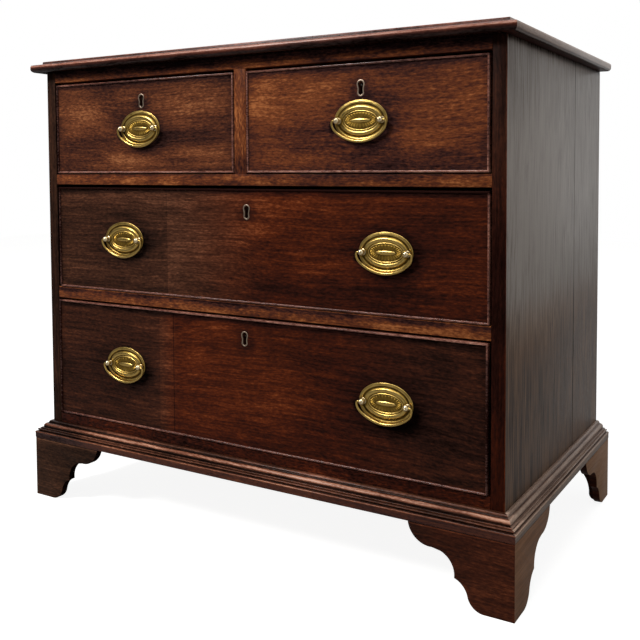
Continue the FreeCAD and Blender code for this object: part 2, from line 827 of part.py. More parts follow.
def make_foot_blocks():
    """Glue blocks behind the front brackets and the braces, and strips along the brackets."""
    side_x = f"({OUTER} + foot_reach - foot_thick)"
    front_y = f"({FRONT} - foot_reach + foot_thick)"
    brace_y = f"({BACK} - block_size - brace_thick)"
    block_x = (f"{side_x} - block_size", side_x)
    strip_z = ("foot_height - strip_size", "foot_height")
    beside_x = (f"{side_x} - strip_size", side_x)
    past_front = f"({front_y} + block_size)"
    inside_x = f"({side_x} - block_size)"
    blocks = [
        board("front_block", block_x, (front_y, past_front), ("block_clear", "foot_height")),
        board("back_block", block_x, (f"{BACK} - block_size", BACK), ("back_block_clear", "foot_height")),
        board("front_side_strip", beside_x, (past_front, f"{past_front} + strip_long"), strip_z),
        board("back_side_strip", beside_x, (f"{brace_y} - strip_long", brace_y), strip_z),
        board(
            "front_strip",
            (f"{inside_x} - strip_long", inside_x),
            (front_y, f"{front_y} + strip_size"),
            strip_z,
        ),
    ]
    twins = [mirrored(block.Name + "_twin", block) for block in blocks]
    keep("foot_blocks", group("block_set", blocks + twins))


# ---------------------------------------------------------------- drawers


def zigzag(edge, inner, centres, half_edge, half_inner):
    """Dovetail points up one end of a board, from its edge to its inner line and back."""
    points = []
    for centre in centres:
        points += [
            (edge, centre - half_edge),
            (inner, centre - half_inner),
            (inner, centre + half_inner),
            (edge, centre + half_edge),
        ]
    return points


def side_outline(drawer):
    """Side view of a drawer side: tails for the front, sockets for the back's pins."""
    high = size(drawer.opening_alias) - size("drawer_clear") - size("drawer_drop")
    shoulder = size("front_thick")
    end = size("drawer_depth")
    low_tail = size("bottom_up") + size("drawer_bottom")
    tail_count = round(high / TAIL_PITCH)
    pitch = (high - low_tail) / tail_count
    tails = [low_tail + pitch * (number + 0.5) for number in range(tail_count)]
    pins = [low_tail + pitch * (number + 1) for number in range(tail_count - 1)]
    front_end = zigzag(shoulder, size("lap"), tails, TAIL_AT_SHOULDER * pitch, TAIL_AT_TIP * pitch)
    pin_line = end - size("drawer_back")
    back_end = zigzag(end, pin_line, pins, PIN_AT_EDGE * pitch, PIN_AT_SHOULDER * pitch)
    return [(shoulder, 0.0), (end, 0.0)] + back_end + [(end, high), (shoulder, high)] + front_end[::-1]


def make_box(drawer):
    """Two sides and a back, dovetailed, round the bottom board."""
    name = drawer.name
    wall = "drawer_side"
    bottom_low = f"({drawer.side_low} + bottom_up)"
    bottom_high = f"({bottom_low} + drawer_bottom)"
    rear = f"({FRONT} + drawer_depth)"
    bottom = board(
        name + "_base",
        (f"{drawer.left} + {wall} - groove", f"{drawer.right} - {wall} + groove"),
        (f"{FRONT_BACK} - groove", rear),
        (bottom_low, bottom_high),
    )
    sides = []
    for side, left in (("left", drawer.left), ("right", f"{drawer.right} - {wall}")):
        blank = shaped(
            f"{name}_{side}_side_blank",
            side_outline(drawer),
            wall,
            (left, FRONT, drawer.side_low),
            yaw(90),
        )
        sides.append(carve(f"{name}_{side}_side", blank, [bottom]))
    back = board(
        name + "_back_blank",
        (drawer.left, drawer.right),
        (f"{rear} - drawer_back", rear),
        (bottom_high, drawer.side_high),
    )
    keep(name + "_bottom", bottom)
    keep(name + "_box", group(name + "_box_set", sides + [carve(name + "_back", back, sides)]))
    return sides, bottom


def bead_strip(name, length, base, spin):
    """One mitred strip of cockbead with a rounded nose, spun about the front's normal."""
    strip = doc.addObject("Part::Wedge", name + "_blank")
    deep = "bead_inset + bead_proud"
    corners = {
        "Xmin": 0,
        "Xmax": length,
        "Ymin": 0,
        "Ymax": "bead_thick",
        "Zmin": 0,
        "Zmax": deep,
        "X2min": "bead_thick",
        "X2max": f"{length} - bead_thick",
        "Z2min": 0,
        "Z2max": deep,
    }
    for corner, expression in corners.items():
        bind(strip, corner, expression)
    place(strip, base, Rotation(Vector(0, -1, 0), spin) * Rotation(Vector(1, 0, 0), 90))
    strip.recompute()
    nose = strip.Shape.BoundBox.YMin
    rounded = doc.addObject("Part::Fillet", name)
    rounded.Base = strip
    radius = size("bead_round")
    rounded.Edges = [
        (number, radius, radius)
        for number, edge in enumerate(strip.Shape.Edges, start=1)
        if edge.BoundBox.YMax < nose + 0.01 and edge.Length > 2 * size("bead_thick")
    ]
    return rounded


def make_cockbead(drawer):
    """The four mitred strips round a drawer front."""
    wide = f"({drawer.right} - {drawer.left})"
    tall = f"({drawer.high} - {drawer.low})"
    inner = f"{FRONT} + bead_inset"
    rows = (
        ("lower", wide, (drawer.left, inner, drawer.low), 0),
        ("right", tall, (drawer.right, inner, drawer.low), 90),
        ("upper", wide, (drawer.right, inner, drawer.high), 180),
        ("left", tall, (drawer.left, inner, drawer.high), 270),
    )
    strips = [bead_strip(f"{drawer.name}_{row[0]}_bead", *row[1:]) for row in rows]
    keep(drawer.name + "_cockbead", group(drawer.name + "_bead_set", strips))


def keyhole(drawer, name, end):
    """The keyhole, from in front of the drawer front to a given depth."""
    x = drawer.key_x
    z = drawer.key_z
    depth = (f"{FRONT} - 2 * key_plate_proud", end)
    ring = rod(name + "_ring", "key_round", depth, x, f"{z} + key_ring_up")
    slot_x = (f"{x} - key_slot / 2", f"{x} + key_slot / 2")
    slot = board(name + "_slot", slot_x, depth, (f"{z} - key_drop", f"{z} + key_ring_up"))
    return join(name, [ring, slot])


def make_lock(drawer):
    """Lock, its top plate and the pin for the key, with a bolt that slides up."""
    name = drawer.name
    x = drawer.key_x
    top = drawer.high
    case = board(
        name + "_lock_case",
        (f"{x} - lock_half", f"{x} + lock_half"),
        (f"{FRONT} + lock_inset", FRONT_BACK),
        (f"{top} - lock_high", top),
    )
    selvedge = board(
        name + "_selvedge",
        (f"{x} - selvedge_half", f"{x} + selvedge_half"),
        (f"{FRONT} + selvedge_inset", FRONT_BACK),
        (f"{top} - selvedge_thick", top),
    )
    blank = join(name + "_lock_blank", [case, selvedge])
    bolt_y = f"({FRONT} + bolt_inset)"
    bolt_top = f"({top} - bolt_below)"
    room = board(
        name + "_bolt_room",
        (f"{x} - bolt_half - bolt_clear", f"{x} + bolt_half + bolt_clear"),
        (f"{bolt_y} - bolt_clear", f"{bolt_y} + bolt_thick + bolt_clear"),
        (f"{bolt_top} - bolt_long - bolt_room", f"{top} + bolt_clear"),
    )
    hole = keyhole(drawer, name + "_lock_hole", bolt_y)
    cleared = carve(name + "_lock", blank, [room, hole])
    pin = rod(
        name + "_key_pin",
        "key_pin",
        (f"{FRONT} + key_plate_deep", f"{FRONT_BACK} - lock_back"),
        x,
        f"{drawer.key_z} + key_ring_up",
    )
    keep(name + "_lock", join(name + "_lock_whole", [cleared, pin]))
    bolt = board(
        name + "_bolt",
        (f"{x} - bolt_half", f"{x} + bolt_half"),
        (bolt_y, f"{bolt_y} + bolt_thick"),
        (f"{bolt_top} - bolt_long", bolt_top),
    )
    keep(name + "_lock_bolt", bolt)
    return blank


def make_key_plate(drawer):
    """Brass plate let in round the keyhole: round top, slight waist, blunt point below."""
    half = size("key_plate_half")
    waist = size("key_plate_waist")
    foot = size("key_plate_foot")
    up = size("key_plate_up")
    down = size("key_plate_down")
    spring = 3.4
    narrowest = -1.0
    heel = -7.6
    toe = (foot - 1.8, heel - 2.8)
    outline = [
        (-half, spring),
        ((0.0, up), (half, spring)),
        ((waist, narrowest), (foot, heel)),
        (toe, (0.0, -down)),
        ((-toe[0], toe[1]), (-foot, heel)),
        ((-waist, narrowest), (-half, spring)),
    ]
    base = (drawer.key_x, f"{FRONT} + key_plate_deep", drawer.key_z)
    return shaped(drawer.name + "_key_plate_blank", outline, "key_plate_deep + key_plate_proud", base)


def make_front(drawer, sides, bottom, lock_blank, key_plate):
    """The drawer front, rebated for its cockbead and cut for everything let into it."""
    name = drawer.name
    bead = "bead_thick"
    face = board(
        name + "_face",
        (f"{drawer.left} + {bead}", f"{drawer.right} - {bead}"),
        (FRONT, FRONT_BACK),
        (f"{drawer.low} + {bead}", f"{drawer.high} - {bead}"),
    )
    behind = board(
        name + "_behind_bead",
        (drawer.left, drawer.right),
        (f"{FRONT} + bead_inset", FRONT_BACK),
        (drawer.low, drawer.high),
    )
    tools = sides + [bottom, lock_blank, key_plate]
    tools.append(keyhole(drawer, name + "_front_hole", f"{FRONT} + lock_inset"))
    for bail, middle in drawer.handles.items():
        for side in ("-", "+"):
            shank_x = f"{middle} {side} post_apart"
            word = "left" if side == "-" else "right"
            hole_y = (FRONT, FRONT_BACK)
            tools.append(rod(f"{bail}_{word}_hole", "shank", hole_y, shank_x, drawer.handle_z))
    keep(name + "_front", carve(name + "_front", join(name + "_front_blank", [face, behind]), tools))


# ---------------------------------------------------------------- handles


def oval(half_width, half_high):
    """An ellipse about the sketch's origin."""
    return Part.Ellipse(Vector(half_width, 0, 0), Vector(0, half_high, 0), Vector(0, 0, 0))


def handle_plate(name, base):
    """Stamped oval plate: flat rim, raised band, and a fluted oval with a raised bar."""
    wide = size("plate_width") / 2
    high = size("plate_high") / 2
    band = size("rim_width")
    well = band + size("band_width")
    petals = well + size("well_width")
    bar = size("bar_half")
    bar_end = size("bar_reach") - bar
    apart = size("post_apart")
    holes = [Part.Circle(Vector(side * apart, 0, 0), Vector(0, 0, 1), size("shank")) for side in (-1, 1)]
    bar_outline = [
        (-bar_end, -bar),
        (bar_end, -bar),
        ((bar_end + bar, 0.0), (bar_end, bar)),
        (-bar_end, bar),
        ((-bar_end - bar, 0.0), (-bar_end, -bar)),
    ]
    body = doc.addObject("PartDesign::Body", name)
    add_pad(body, name + "_rim", [oval(wide, high)] + holes, "rim_thick")
    ring = [oval(wide - band, high - band), oval(wide - well, high - well)]
    add_pad(body, name + "_band", ring + holes, "band_thick")
    add_pad(body, name + "_petals", [oval(wide - petals, high - petals)], "petal_thick")
    add_pad(body, name + "_bar", trace(bar_outline), "bar_thick")
    place(body, base)
    return body


def handle_post(name, base):
    """A turned post: nut, shank, collar, neck, ball head with a tip, and a bore for the bail."""
    ball = size("post_ball")
    out = size("bail_out")
    neck = size("post_neck")
    tip = size("post_tip")
    collar = size("post_collar")
    band = size("band_thick")
    thick = size("front_thick")
    nut = size("nut_radius")
    nut_end = thick + size("nut_thick")
    neck_meets = -out + math.sqrt(ball**2 - neck**2)
    tip_meets = -out - math.sqrt(ball**2 - tip**2)
    collar_edge = 0.6
    collar_slope = 0.5
    tip_edge = 0.4
    tip_slope = 0.5
    outline = [
        (0.0, nut_end),
        (nut, nut_end),
        (nut, thick),
        (size("shank"), thick),
        (size("shank"), -band),
        (collar, -band),
        (collar, -band - collar_edge),
        (neck, -band - collar_edge - collar_slope),
        (neck, neck_meets),
        ((ball, -out), (tip, tip_meets)),
        (tip, tip_meets - tip_edge),
        (0.0, tip_meets - tip_edge - tip_slope),
    ]
    body = doc.addObject("PartDesign::Body", name + "_turned")
    turned = body.newObject("PartDesign::Revolution", name + "_revolution")
    sketch = add_sketch(body, name + "_sketch", trace(outline), "XY_Plane")
    turned.Profile = sketch
    turned.ReferenceAxis = (sketch, ["V_Axis"])
    turned.Angle = 360
    place(body, base)
    bore = doc.addObject("Part::Cylinder", name + "_bore")
    bind(bore, "Radius", "bail_bore")
    bind(bore, "Height", "4 * post_ball")
    bore_base = (f"{base[0]} - 2 * post_ball", f"{base[1]} - bail_out", base[2])
    place(bore, bore_base, Rotation(Vector(0, 1, 0), 90))
    return carve(name, body, [bore])


def bail_path():
    """Middle line of a bail, from one pin's end to the other, in the plane it hangs in."""
    half = size("bail_half")
    corner = size("bail_corner")
    shoulder = size("bail_shoulder")
    drop = size("bail_drop") - corner
    pin = size("pin_end")
    side = half - shoulder
    sweep = (side**2 + drop**2 - shoulder**2) / (2 * (drop - shoulder))
    low_centre = (0.0, sweep - size("bail_drop"))
    slope = math.degrees(math.atan2(corner + low_centre[1], side))
    return [
        (-pin, 0.0),
        (corner - half, 0.0),
        swing((corner - half, -corner), corner, 135, 180),
        swing((-side, -corner), shoulder, 180 + slope / 2, 180 + slope),
        swing(low_centre, sweep, 270, 360 - slope),
        swing((side, -corner), shoulder, 360 - slope / 2, 360),
        swing((half - corner, -corner), corner, 45, 90),
        (pin, 0.0),
    ]


def make_bail(name, base):
    """A swinging bail handle: a round rod along a half oval, with its pins turned inwards.

    It hangs with its lower edge leaning towards the plate.
    """
    body = doc.addObject("PartDesign::Body", name)
    path = add_sketch(body, name + "_path", trace(bail_path(), closed=False))
    circle = Part.Circle(Vector(0, 0, 0), Vector(0, 0, 1), size("bail_rod"))
    section = add_sketch(body, name + "_section", [circle], "YZ_Plane")
    bind(section, "AttachmentOffset.Base.z", "-pin_end")
    pipe = body.newObject("PartDesign::AdditivePipe", name + "_pipe")
    pipe.Profile = section
    pipe.Spine = (path, [f"Edge{number}" for number in range(1, 8)])
    place(body, base, Rotation(Vector(1, 0, 0), size("bail_lean")))
    return keep(name, body)


def make_handles(drawer, key_plate):
    """Plates, posts and bails of one drawer, and the plate round its keyhole."""
    plates = []
    posts = []
    for bail, middle in drawer.handles.items():
        plates.append(handle_plate(bail + "_plate", (middle, FRONT, drawer.handle_z)))
        for word, side in (("left", "-"), ("right", "+")):
            base = (f"{middle} {side} post_apart", FRONT, drawer.handle_z)
            posts.append(handle_post(f"{bail}_{word}_post", base))
        make_bail(bail, (middle, f"{FRONT} - bail_out", drawer.handle_z))
    hole = keyhole(drawer, drawer.name + "_plate_hole", f"{FRONT} + lock_inset")
    plates.append(carve(drawer.name + "_key_plate", key_plate, [hole]))
    keep(drawer.name + "_brass_plates", group(drawer.name + "_plate_set", plates))
    keep(drawer.name + "_handle_posts", group(drawer.name + "_post_set", posts))


def make_drawer(drawer):
    """Everything that slides out with one drawer."""
    sides, bottom = make_box(drawer)
    lock_blank = make_lock(drawer)
    key_plate = make_key_plate(drawer)
    make_front(drawer, sides, bottom, lock_blank, key_plate)
    make_cockbead(drawer)
    make_handles(drawer, key_plate)


# ---------------------------------------------------------------- document


def check():
    """Stop if any object failed, or if a sub-part is empty or not valid."""
    for item in doc.Objects:
        if "Invalid" in item.State or "Error" in item.State:
            raise RuntimeError(f"{item.Name} failed: {item.State}")
    for piece in finished:
        if piece.Shape.isNull() or not piece.Shape.isValid() or not piece.Shape.Solids:
            raise RuntimeError(f"{piece.Label} has no valid solid")


def export():
    """Write each sub-part to a STEP file named after its label."""
    os.makedirs("parts", exist_ok=True)
    for piece in finished:
        piece.Shape.exportStep(f"parts/{piece.Label}.step")
        volume = piece.Shape.Volume / 1000
        print(f"{piece.Label}: {len(piece.Shape.Solids)} solids, {volume:.1f} cm3")


fill_sheet()
make_case()
make_top()
front_mitres = mitre_zone(
    "front_zone", "case_width", "zone_reach", "zone_reach", (OUTER, FRONT, 0), yaw(180)
)
side_mitres = mitre_zone("side_zone", "case_depth", 0, "zone_reach", (OUTER, BACK, 0), yaw(-90))
make_base(front_mitres, side_mitres)
make_feet(front_mitres, side_mitres)
make_foot_blocks()
for each_drawer in (LEFT_SHORT, RIGHT_SHORT, MIDDLE, BOTTOM):
    make_drawer(each_drawer)
doc.recompute()
check()
export()
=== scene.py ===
"""Dresses the bachelors chest: polished mahogany, stamped brass and softwood inside.

Sizes in the classes are millimetres; the meshes are metres, in the frame of the solids.
"""

import json
import logging
import math
from dataclasses import dataclass, field
from enum import Enum
from typing import Iterable, Optional, Sequence, Union

import bmesh
import bpy
from mathutils import Matrix, Vector

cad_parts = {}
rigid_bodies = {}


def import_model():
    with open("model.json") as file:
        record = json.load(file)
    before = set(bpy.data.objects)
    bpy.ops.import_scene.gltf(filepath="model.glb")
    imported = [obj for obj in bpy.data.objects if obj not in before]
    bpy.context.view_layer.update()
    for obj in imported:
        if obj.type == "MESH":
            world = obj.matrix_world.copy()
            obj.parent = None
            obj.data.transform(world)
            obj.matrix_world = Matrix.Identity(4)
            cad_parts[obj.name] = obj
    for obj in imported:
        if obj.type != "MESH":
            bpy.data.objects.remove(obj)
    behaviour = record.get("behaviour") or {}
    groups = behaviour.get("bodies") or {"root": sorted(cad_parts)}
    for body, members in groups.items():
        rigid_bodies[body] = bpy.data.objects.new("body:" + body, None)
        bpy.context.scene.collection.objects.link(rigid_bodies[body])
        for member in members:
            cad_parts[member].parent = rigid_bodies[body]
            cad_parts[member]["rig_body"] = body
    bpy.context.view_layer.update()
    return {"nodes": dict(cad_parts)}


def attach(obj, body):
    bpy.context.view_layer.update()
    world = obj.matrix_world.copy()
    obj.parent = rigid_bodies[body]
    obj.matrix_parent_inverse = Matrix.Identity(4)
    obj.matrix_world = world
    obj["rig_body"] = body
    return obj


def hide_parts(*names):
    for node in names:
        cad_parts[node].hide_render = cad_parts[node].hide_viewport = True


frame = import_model()

log = logging.getLogger("bachelors_chest")

MM = 0.001
# the drawer fronts' plane
FRONT_Y = -226.5
# a reach that takes in the whole chest
FAR = 5000.0
# how far forward and back a patch on the front reaches
FRONT_REACH = 400.0
# points nearer to each other than this are one
MERGE = 0.001 * MM
# where the five colours of a wood stand on its ramp
TONE_STOPS = (0.0, 0.28, 0.5, 0.72, 1.0)
# how far out a patch has faded away, as a share of its reach
PATCH_END = 1.25

Colour = tuple[float, float, float, float]
Point = tuple[float, float, float]
Socket = bpy.types.NodeSocket
Value = Union[float, Socket]
Mesh = bmesh.types.BMesh


class Grain(Enum):
    """The axis that a board's fibres run along."""

    ACROSS = 0
    DEEP = 1
    UPRIGHT = 2


def shade(red: int, green: int, blue: int) -> Colour:
    """A colour as it should appear on screen, in the renderer's linear terms.

    Args:
        red: Screen value from 0 to 255.
        green: Screen value from 0 to 255.
        blue: Screen value from 0 to 255.

    Returns:
        The linear colour with full opacity.
    """
    linear = []
    for screen in (red, green, blue):
        part = screen / 255
        linear.append(part / 12.92 if part <= 0.04045 else ((part + 0.055) / 1.055) ** 2.4)
    return (linear[0], linear[1], linear[2], 1.0)


# ---------------------------------------------------------------- material bench


class Bench:
    """Lays out and links the nodes of one material, or of the world."""

    def __init__(self, owner: Union[bpy.types.Material, bpy.types.World]) -> None:
        """Clear the owner's nodes.

        Args:
            owner: The new material or world.
        """
        self.owner = owner
        owner.use_nodes = True
        self.tree = owner.node_tree
        self.tree.nodes.clear()
        self.place = self.node("TexCoord", {}).outputs["Object"]

    def node(self, kind: str, inputs: dict, **settings: object) -> bpy.types.Node:
        """Add a node.

        Args:
            kind: The node's type, without its ShaderNode prefix.
            inputs: Values or sockets for its inputs.
            settings: The node's own properties.

        Returns:
            The new node.
        """
        made = self.tree.nodes.new("ShaderNode" + kind)
        for name, setting in settings.items():
            setattr(made, name, setting)
        for name, value in inputs.items():
            if isinstance(value, Socket):
                self.tree.links.new(value, made.inputs[name])
            else:
                made.inputs[name].default_value = value
        return made

    def math(self, operation: str, first: Value, second: Value = 0.0, third: Value = 0.0) -> Socket:
        """Combine up to three numbers and return the result's socket."""
        made = self.node("Math", {0: first, 1: second, 2: third}, operation=operation)
        return made.outputs[0]

    def vector(self, operation: str, *values: Union[Socket, Point]) -> Socket:
        """Combine vectors and return the result's socket."""
        return self.node("VectorMath", dict(enumerate(values)), operation=operation).outputs[0]

    def blend(self, factor: Value, first: Value, second: Value) -> Socket:
        """A number between two others."""
        return self.node("Mix", {0: factor, 2: first, 3: second}).outputs[0]

    def tint(self, factor: Value, first: Socket, second: Socket) -> Socket:
        """A colour between two others."""
        return self.node("Mix", {0: factor, 6: first, 7: second}, data_type="RGBA").outputs[2]

    def span(
        self, value: Value, low: float, high: float, start: float = 0.0, end: float = 1.0
    ) -> Socket:
        """Ease a number from one range to another.

        Args:
            value: The number to ease.
            low: Where the result begins to change.
            high: Where it stops changing.
            start: Result at low and before it.
            end: Result at high and past it.

        Returns:
            The eased number's socket.
        """
        inputs = {"Value": value, "From Min": low, "From Max": high, "To Min": start, "To Max": end}
        return self.node("MapRange", inputs, interpolation_type="SMOOTHSTEP").outputs["Result"]

    def scaled(
        self, scale: Point, shift: Point = (0.0, 0.0, 0.0), place: Optional[Socket] = None
    ) -> Socket:
        """Coordinates times a scale, plus a shift; the object's own where none are given."""
        inputs = {"Vector": place or self.place, "Scale": scale, "Location": shift}
        return self.node("Mapping", inputs).outputs[0]

    def noise(
        self, place: Socket, scale: float = 1.0, detail: float = 2.0, roughness: float = 0.5
    ) -> Socket:
        """Smooth noise round 0.5 at the given coordinates."""
        inputs = {"Vector": place, "Scale": scale, "Detail": detail, "Roughness": roughness}
        return self.node("TexNoise", inputs).outputs["Fac"]

    def swing(self, value: Socket, amount: float) -> Socket:
        """A noise value moved to lie round zero and scaled."""
        return self.math("MULTIPLY_ADD", value, 2 * amount, -amount)

    def total(self, values: Iterable[Value]) -> Value:
        """Add several numbers up.

        Args:
            values: The numbers.

        Returns:
            Their sum.
        """
        result: Value = 0.0
        for value in values:
            result = self.math("ADD", result, value)
        return result

    def ramp(self, factor: Value, stops: Sequence[tuple[float, Colour]]) -> Socket:
        """A colour ramp.

        Args:
            factor: The number that picks a colour.
            stops: Positions and their colours.

        Returns:
            The colour's socket.
        """
        made = self.node("ValToRGB", {"Fac": factor})
        elements = made.color_ramp.elements
        for number, (position, colour) in enumerate(stops):
            element = elements[number] if number < 2 else elements.new(position)
            element.position = position
            element.color = colour
        return made.outputs["Color"]

    def axis(self, place: Socket, axis: int) -> Socket:
        """One coordinate of a vector."""
        return self.node("SeparateXYZ", {"Vector": place}).outputs[axis]

    def finish(
        self,
        colour: Socket,
        roughness: Value,
        bump: Socket,
        depth: float,
        metallic: float = 0.0,
        polish: float = 0.5,
        sheen: Optional[Socket] = None,
    ) -> bpy.types.Material:
        """Close the material with a Principled shader.

        Args:
            colour: Base colour.
            roughness: Roughness.
            bump: Height for the bump.
            depth: The bump's depth in millimetres.
            metallic: Share of metal.
            polish: Specular level.
            sheen: A specular level that varies; a model without links keeps the polish instead.

        Returns:
            The finished material.
        """
        raised = self.node("Bump", {"Height": bump, "Distance": depth * MM, "Strength": 1.0})
        inputs = {
            "Base Color": colour,
            "Roughness": roughness,
            "Normal": raised.outputs["Normal"],
            "Metallic": metallic,
            "Specular IOR Level": polish,
        }
        shader = self.node("BsdfPrincipled", inputs)
        if sheen is not None:
            self.tree.links.new(sheen, shader.inputs["Specular IOR Level"])
        self.node("OutputMaterial", {"Surface": shader.outputs["BSDF"]})
        return self.owner


# ---------------------------------------------------------------- finishes


@dataclass(frozen=True)
class Tones:
    """Wood colours from the deepest to the brightest."""

    deep: Colour
    dark: Colour
    body: Colour
    warm: Colour
    flare: Colour

    def stops(self) -> list[tuple[float, Colour]]:
        """Ramp stops for the five colours."""
        return list(zip(TONE_STOPS, (self.deep, self.dark, self.body, self.warm, self.flare)))


def tones(*screen: tuple[int, int, int]) -> Tones:
    """A wood's tones from its five screen colours, the deepest first."""
    return Tones(*(shade(*colour) for colour in screen))


@dataclass(frozen=True)
class Patch:
    """A soft lighter or darker place on a board, with a core at its full change of tone."""

    at: Point
    reach: Point
    tone: float
    ragged: float = 1.0
    core: float = 0.15


@dataclass(frozen=True)
class Veil:
    """A place where the wood takes other tones; its patch's tone is their share."""

    patch: Patch
    tones: Tones


@dataclass(frozen=True)
class Seam:
    """A glued joint: a hairline across an axis, with a change of tone past it."""

    axis: int
    at: float
    step: float
    line: float = 0.35
    width: float = 0.7


@dataclass(frozen=True)
class Frontage:
    """The rectangle of a drawer front, darker along the bead from dust and painted shade, with
    painted shade under its upper bead.
    """

    left: float
    right: float
    low: float
    high: float
    # edge and reach: dust and painted shade along the bead; top and top_reach: painted shade under
    # the upper bead
    reach: float = 12.0
    top_reach: float = 10.0
    edge: float = -0.08
    top: float = -0.24


RED_MAHOGANY = tones((12, 5, 4), (36, 14, 9), (62, 24, 12), (92, 39, 17), (146, 76, 38))
WARM_MAHOGANY = tones((22, 12, 12), (50, 27, 24), (84, 43, 28), (116, 62, 33), (168, 102, 58))
CRISP_MAHOGANY = tones((10, 6, 5), (36, 19, 13), (68, 39, 26), (120, 72, 52), (196, 146, 120))
# a greyer, lighter copy for the sides' outer faces: painted sheen
SIDE_SHEEN_MAHOGANY = tones((22, 15, 12), (60, 47, 39), (108, 94, 84), (140, 129, 121), (168, 158, 150))
OLIVE_MAHOGANY = tones((12, 8, 6), (35, 22, 16), (60, 38, 27), (92, 60, 43), (142, 104, 78))
TAWNY_MAHOGANY = tones((22, 13, 8), (58, 40, 28), (104, 76, 54), (134, 104, 80), (160, 130, 104))
# a lighter copy for the feet's outer faces: painted sheen
SIENNA_SHEEN_MAHOGANY = tones((20, 12, 8), (62, 40, 27), (112, 78, 54), (144, 104, 76), (174, 134, 104))
# a lighter, greyer copy for the top's ends and the base moulding's side runs: painted sheen
EDGE_SHEEN_MAHOGANY = tones((16, 10, 8), (46, 31, 24), (92, 69, 57), (134, 108, 93), (178, 152, 134))
TOP_MAHOGANY = tones((14, 8, 7), (50, 26, 19), (98, 52, 38), (144, 92, 74), (178, 138, 122))


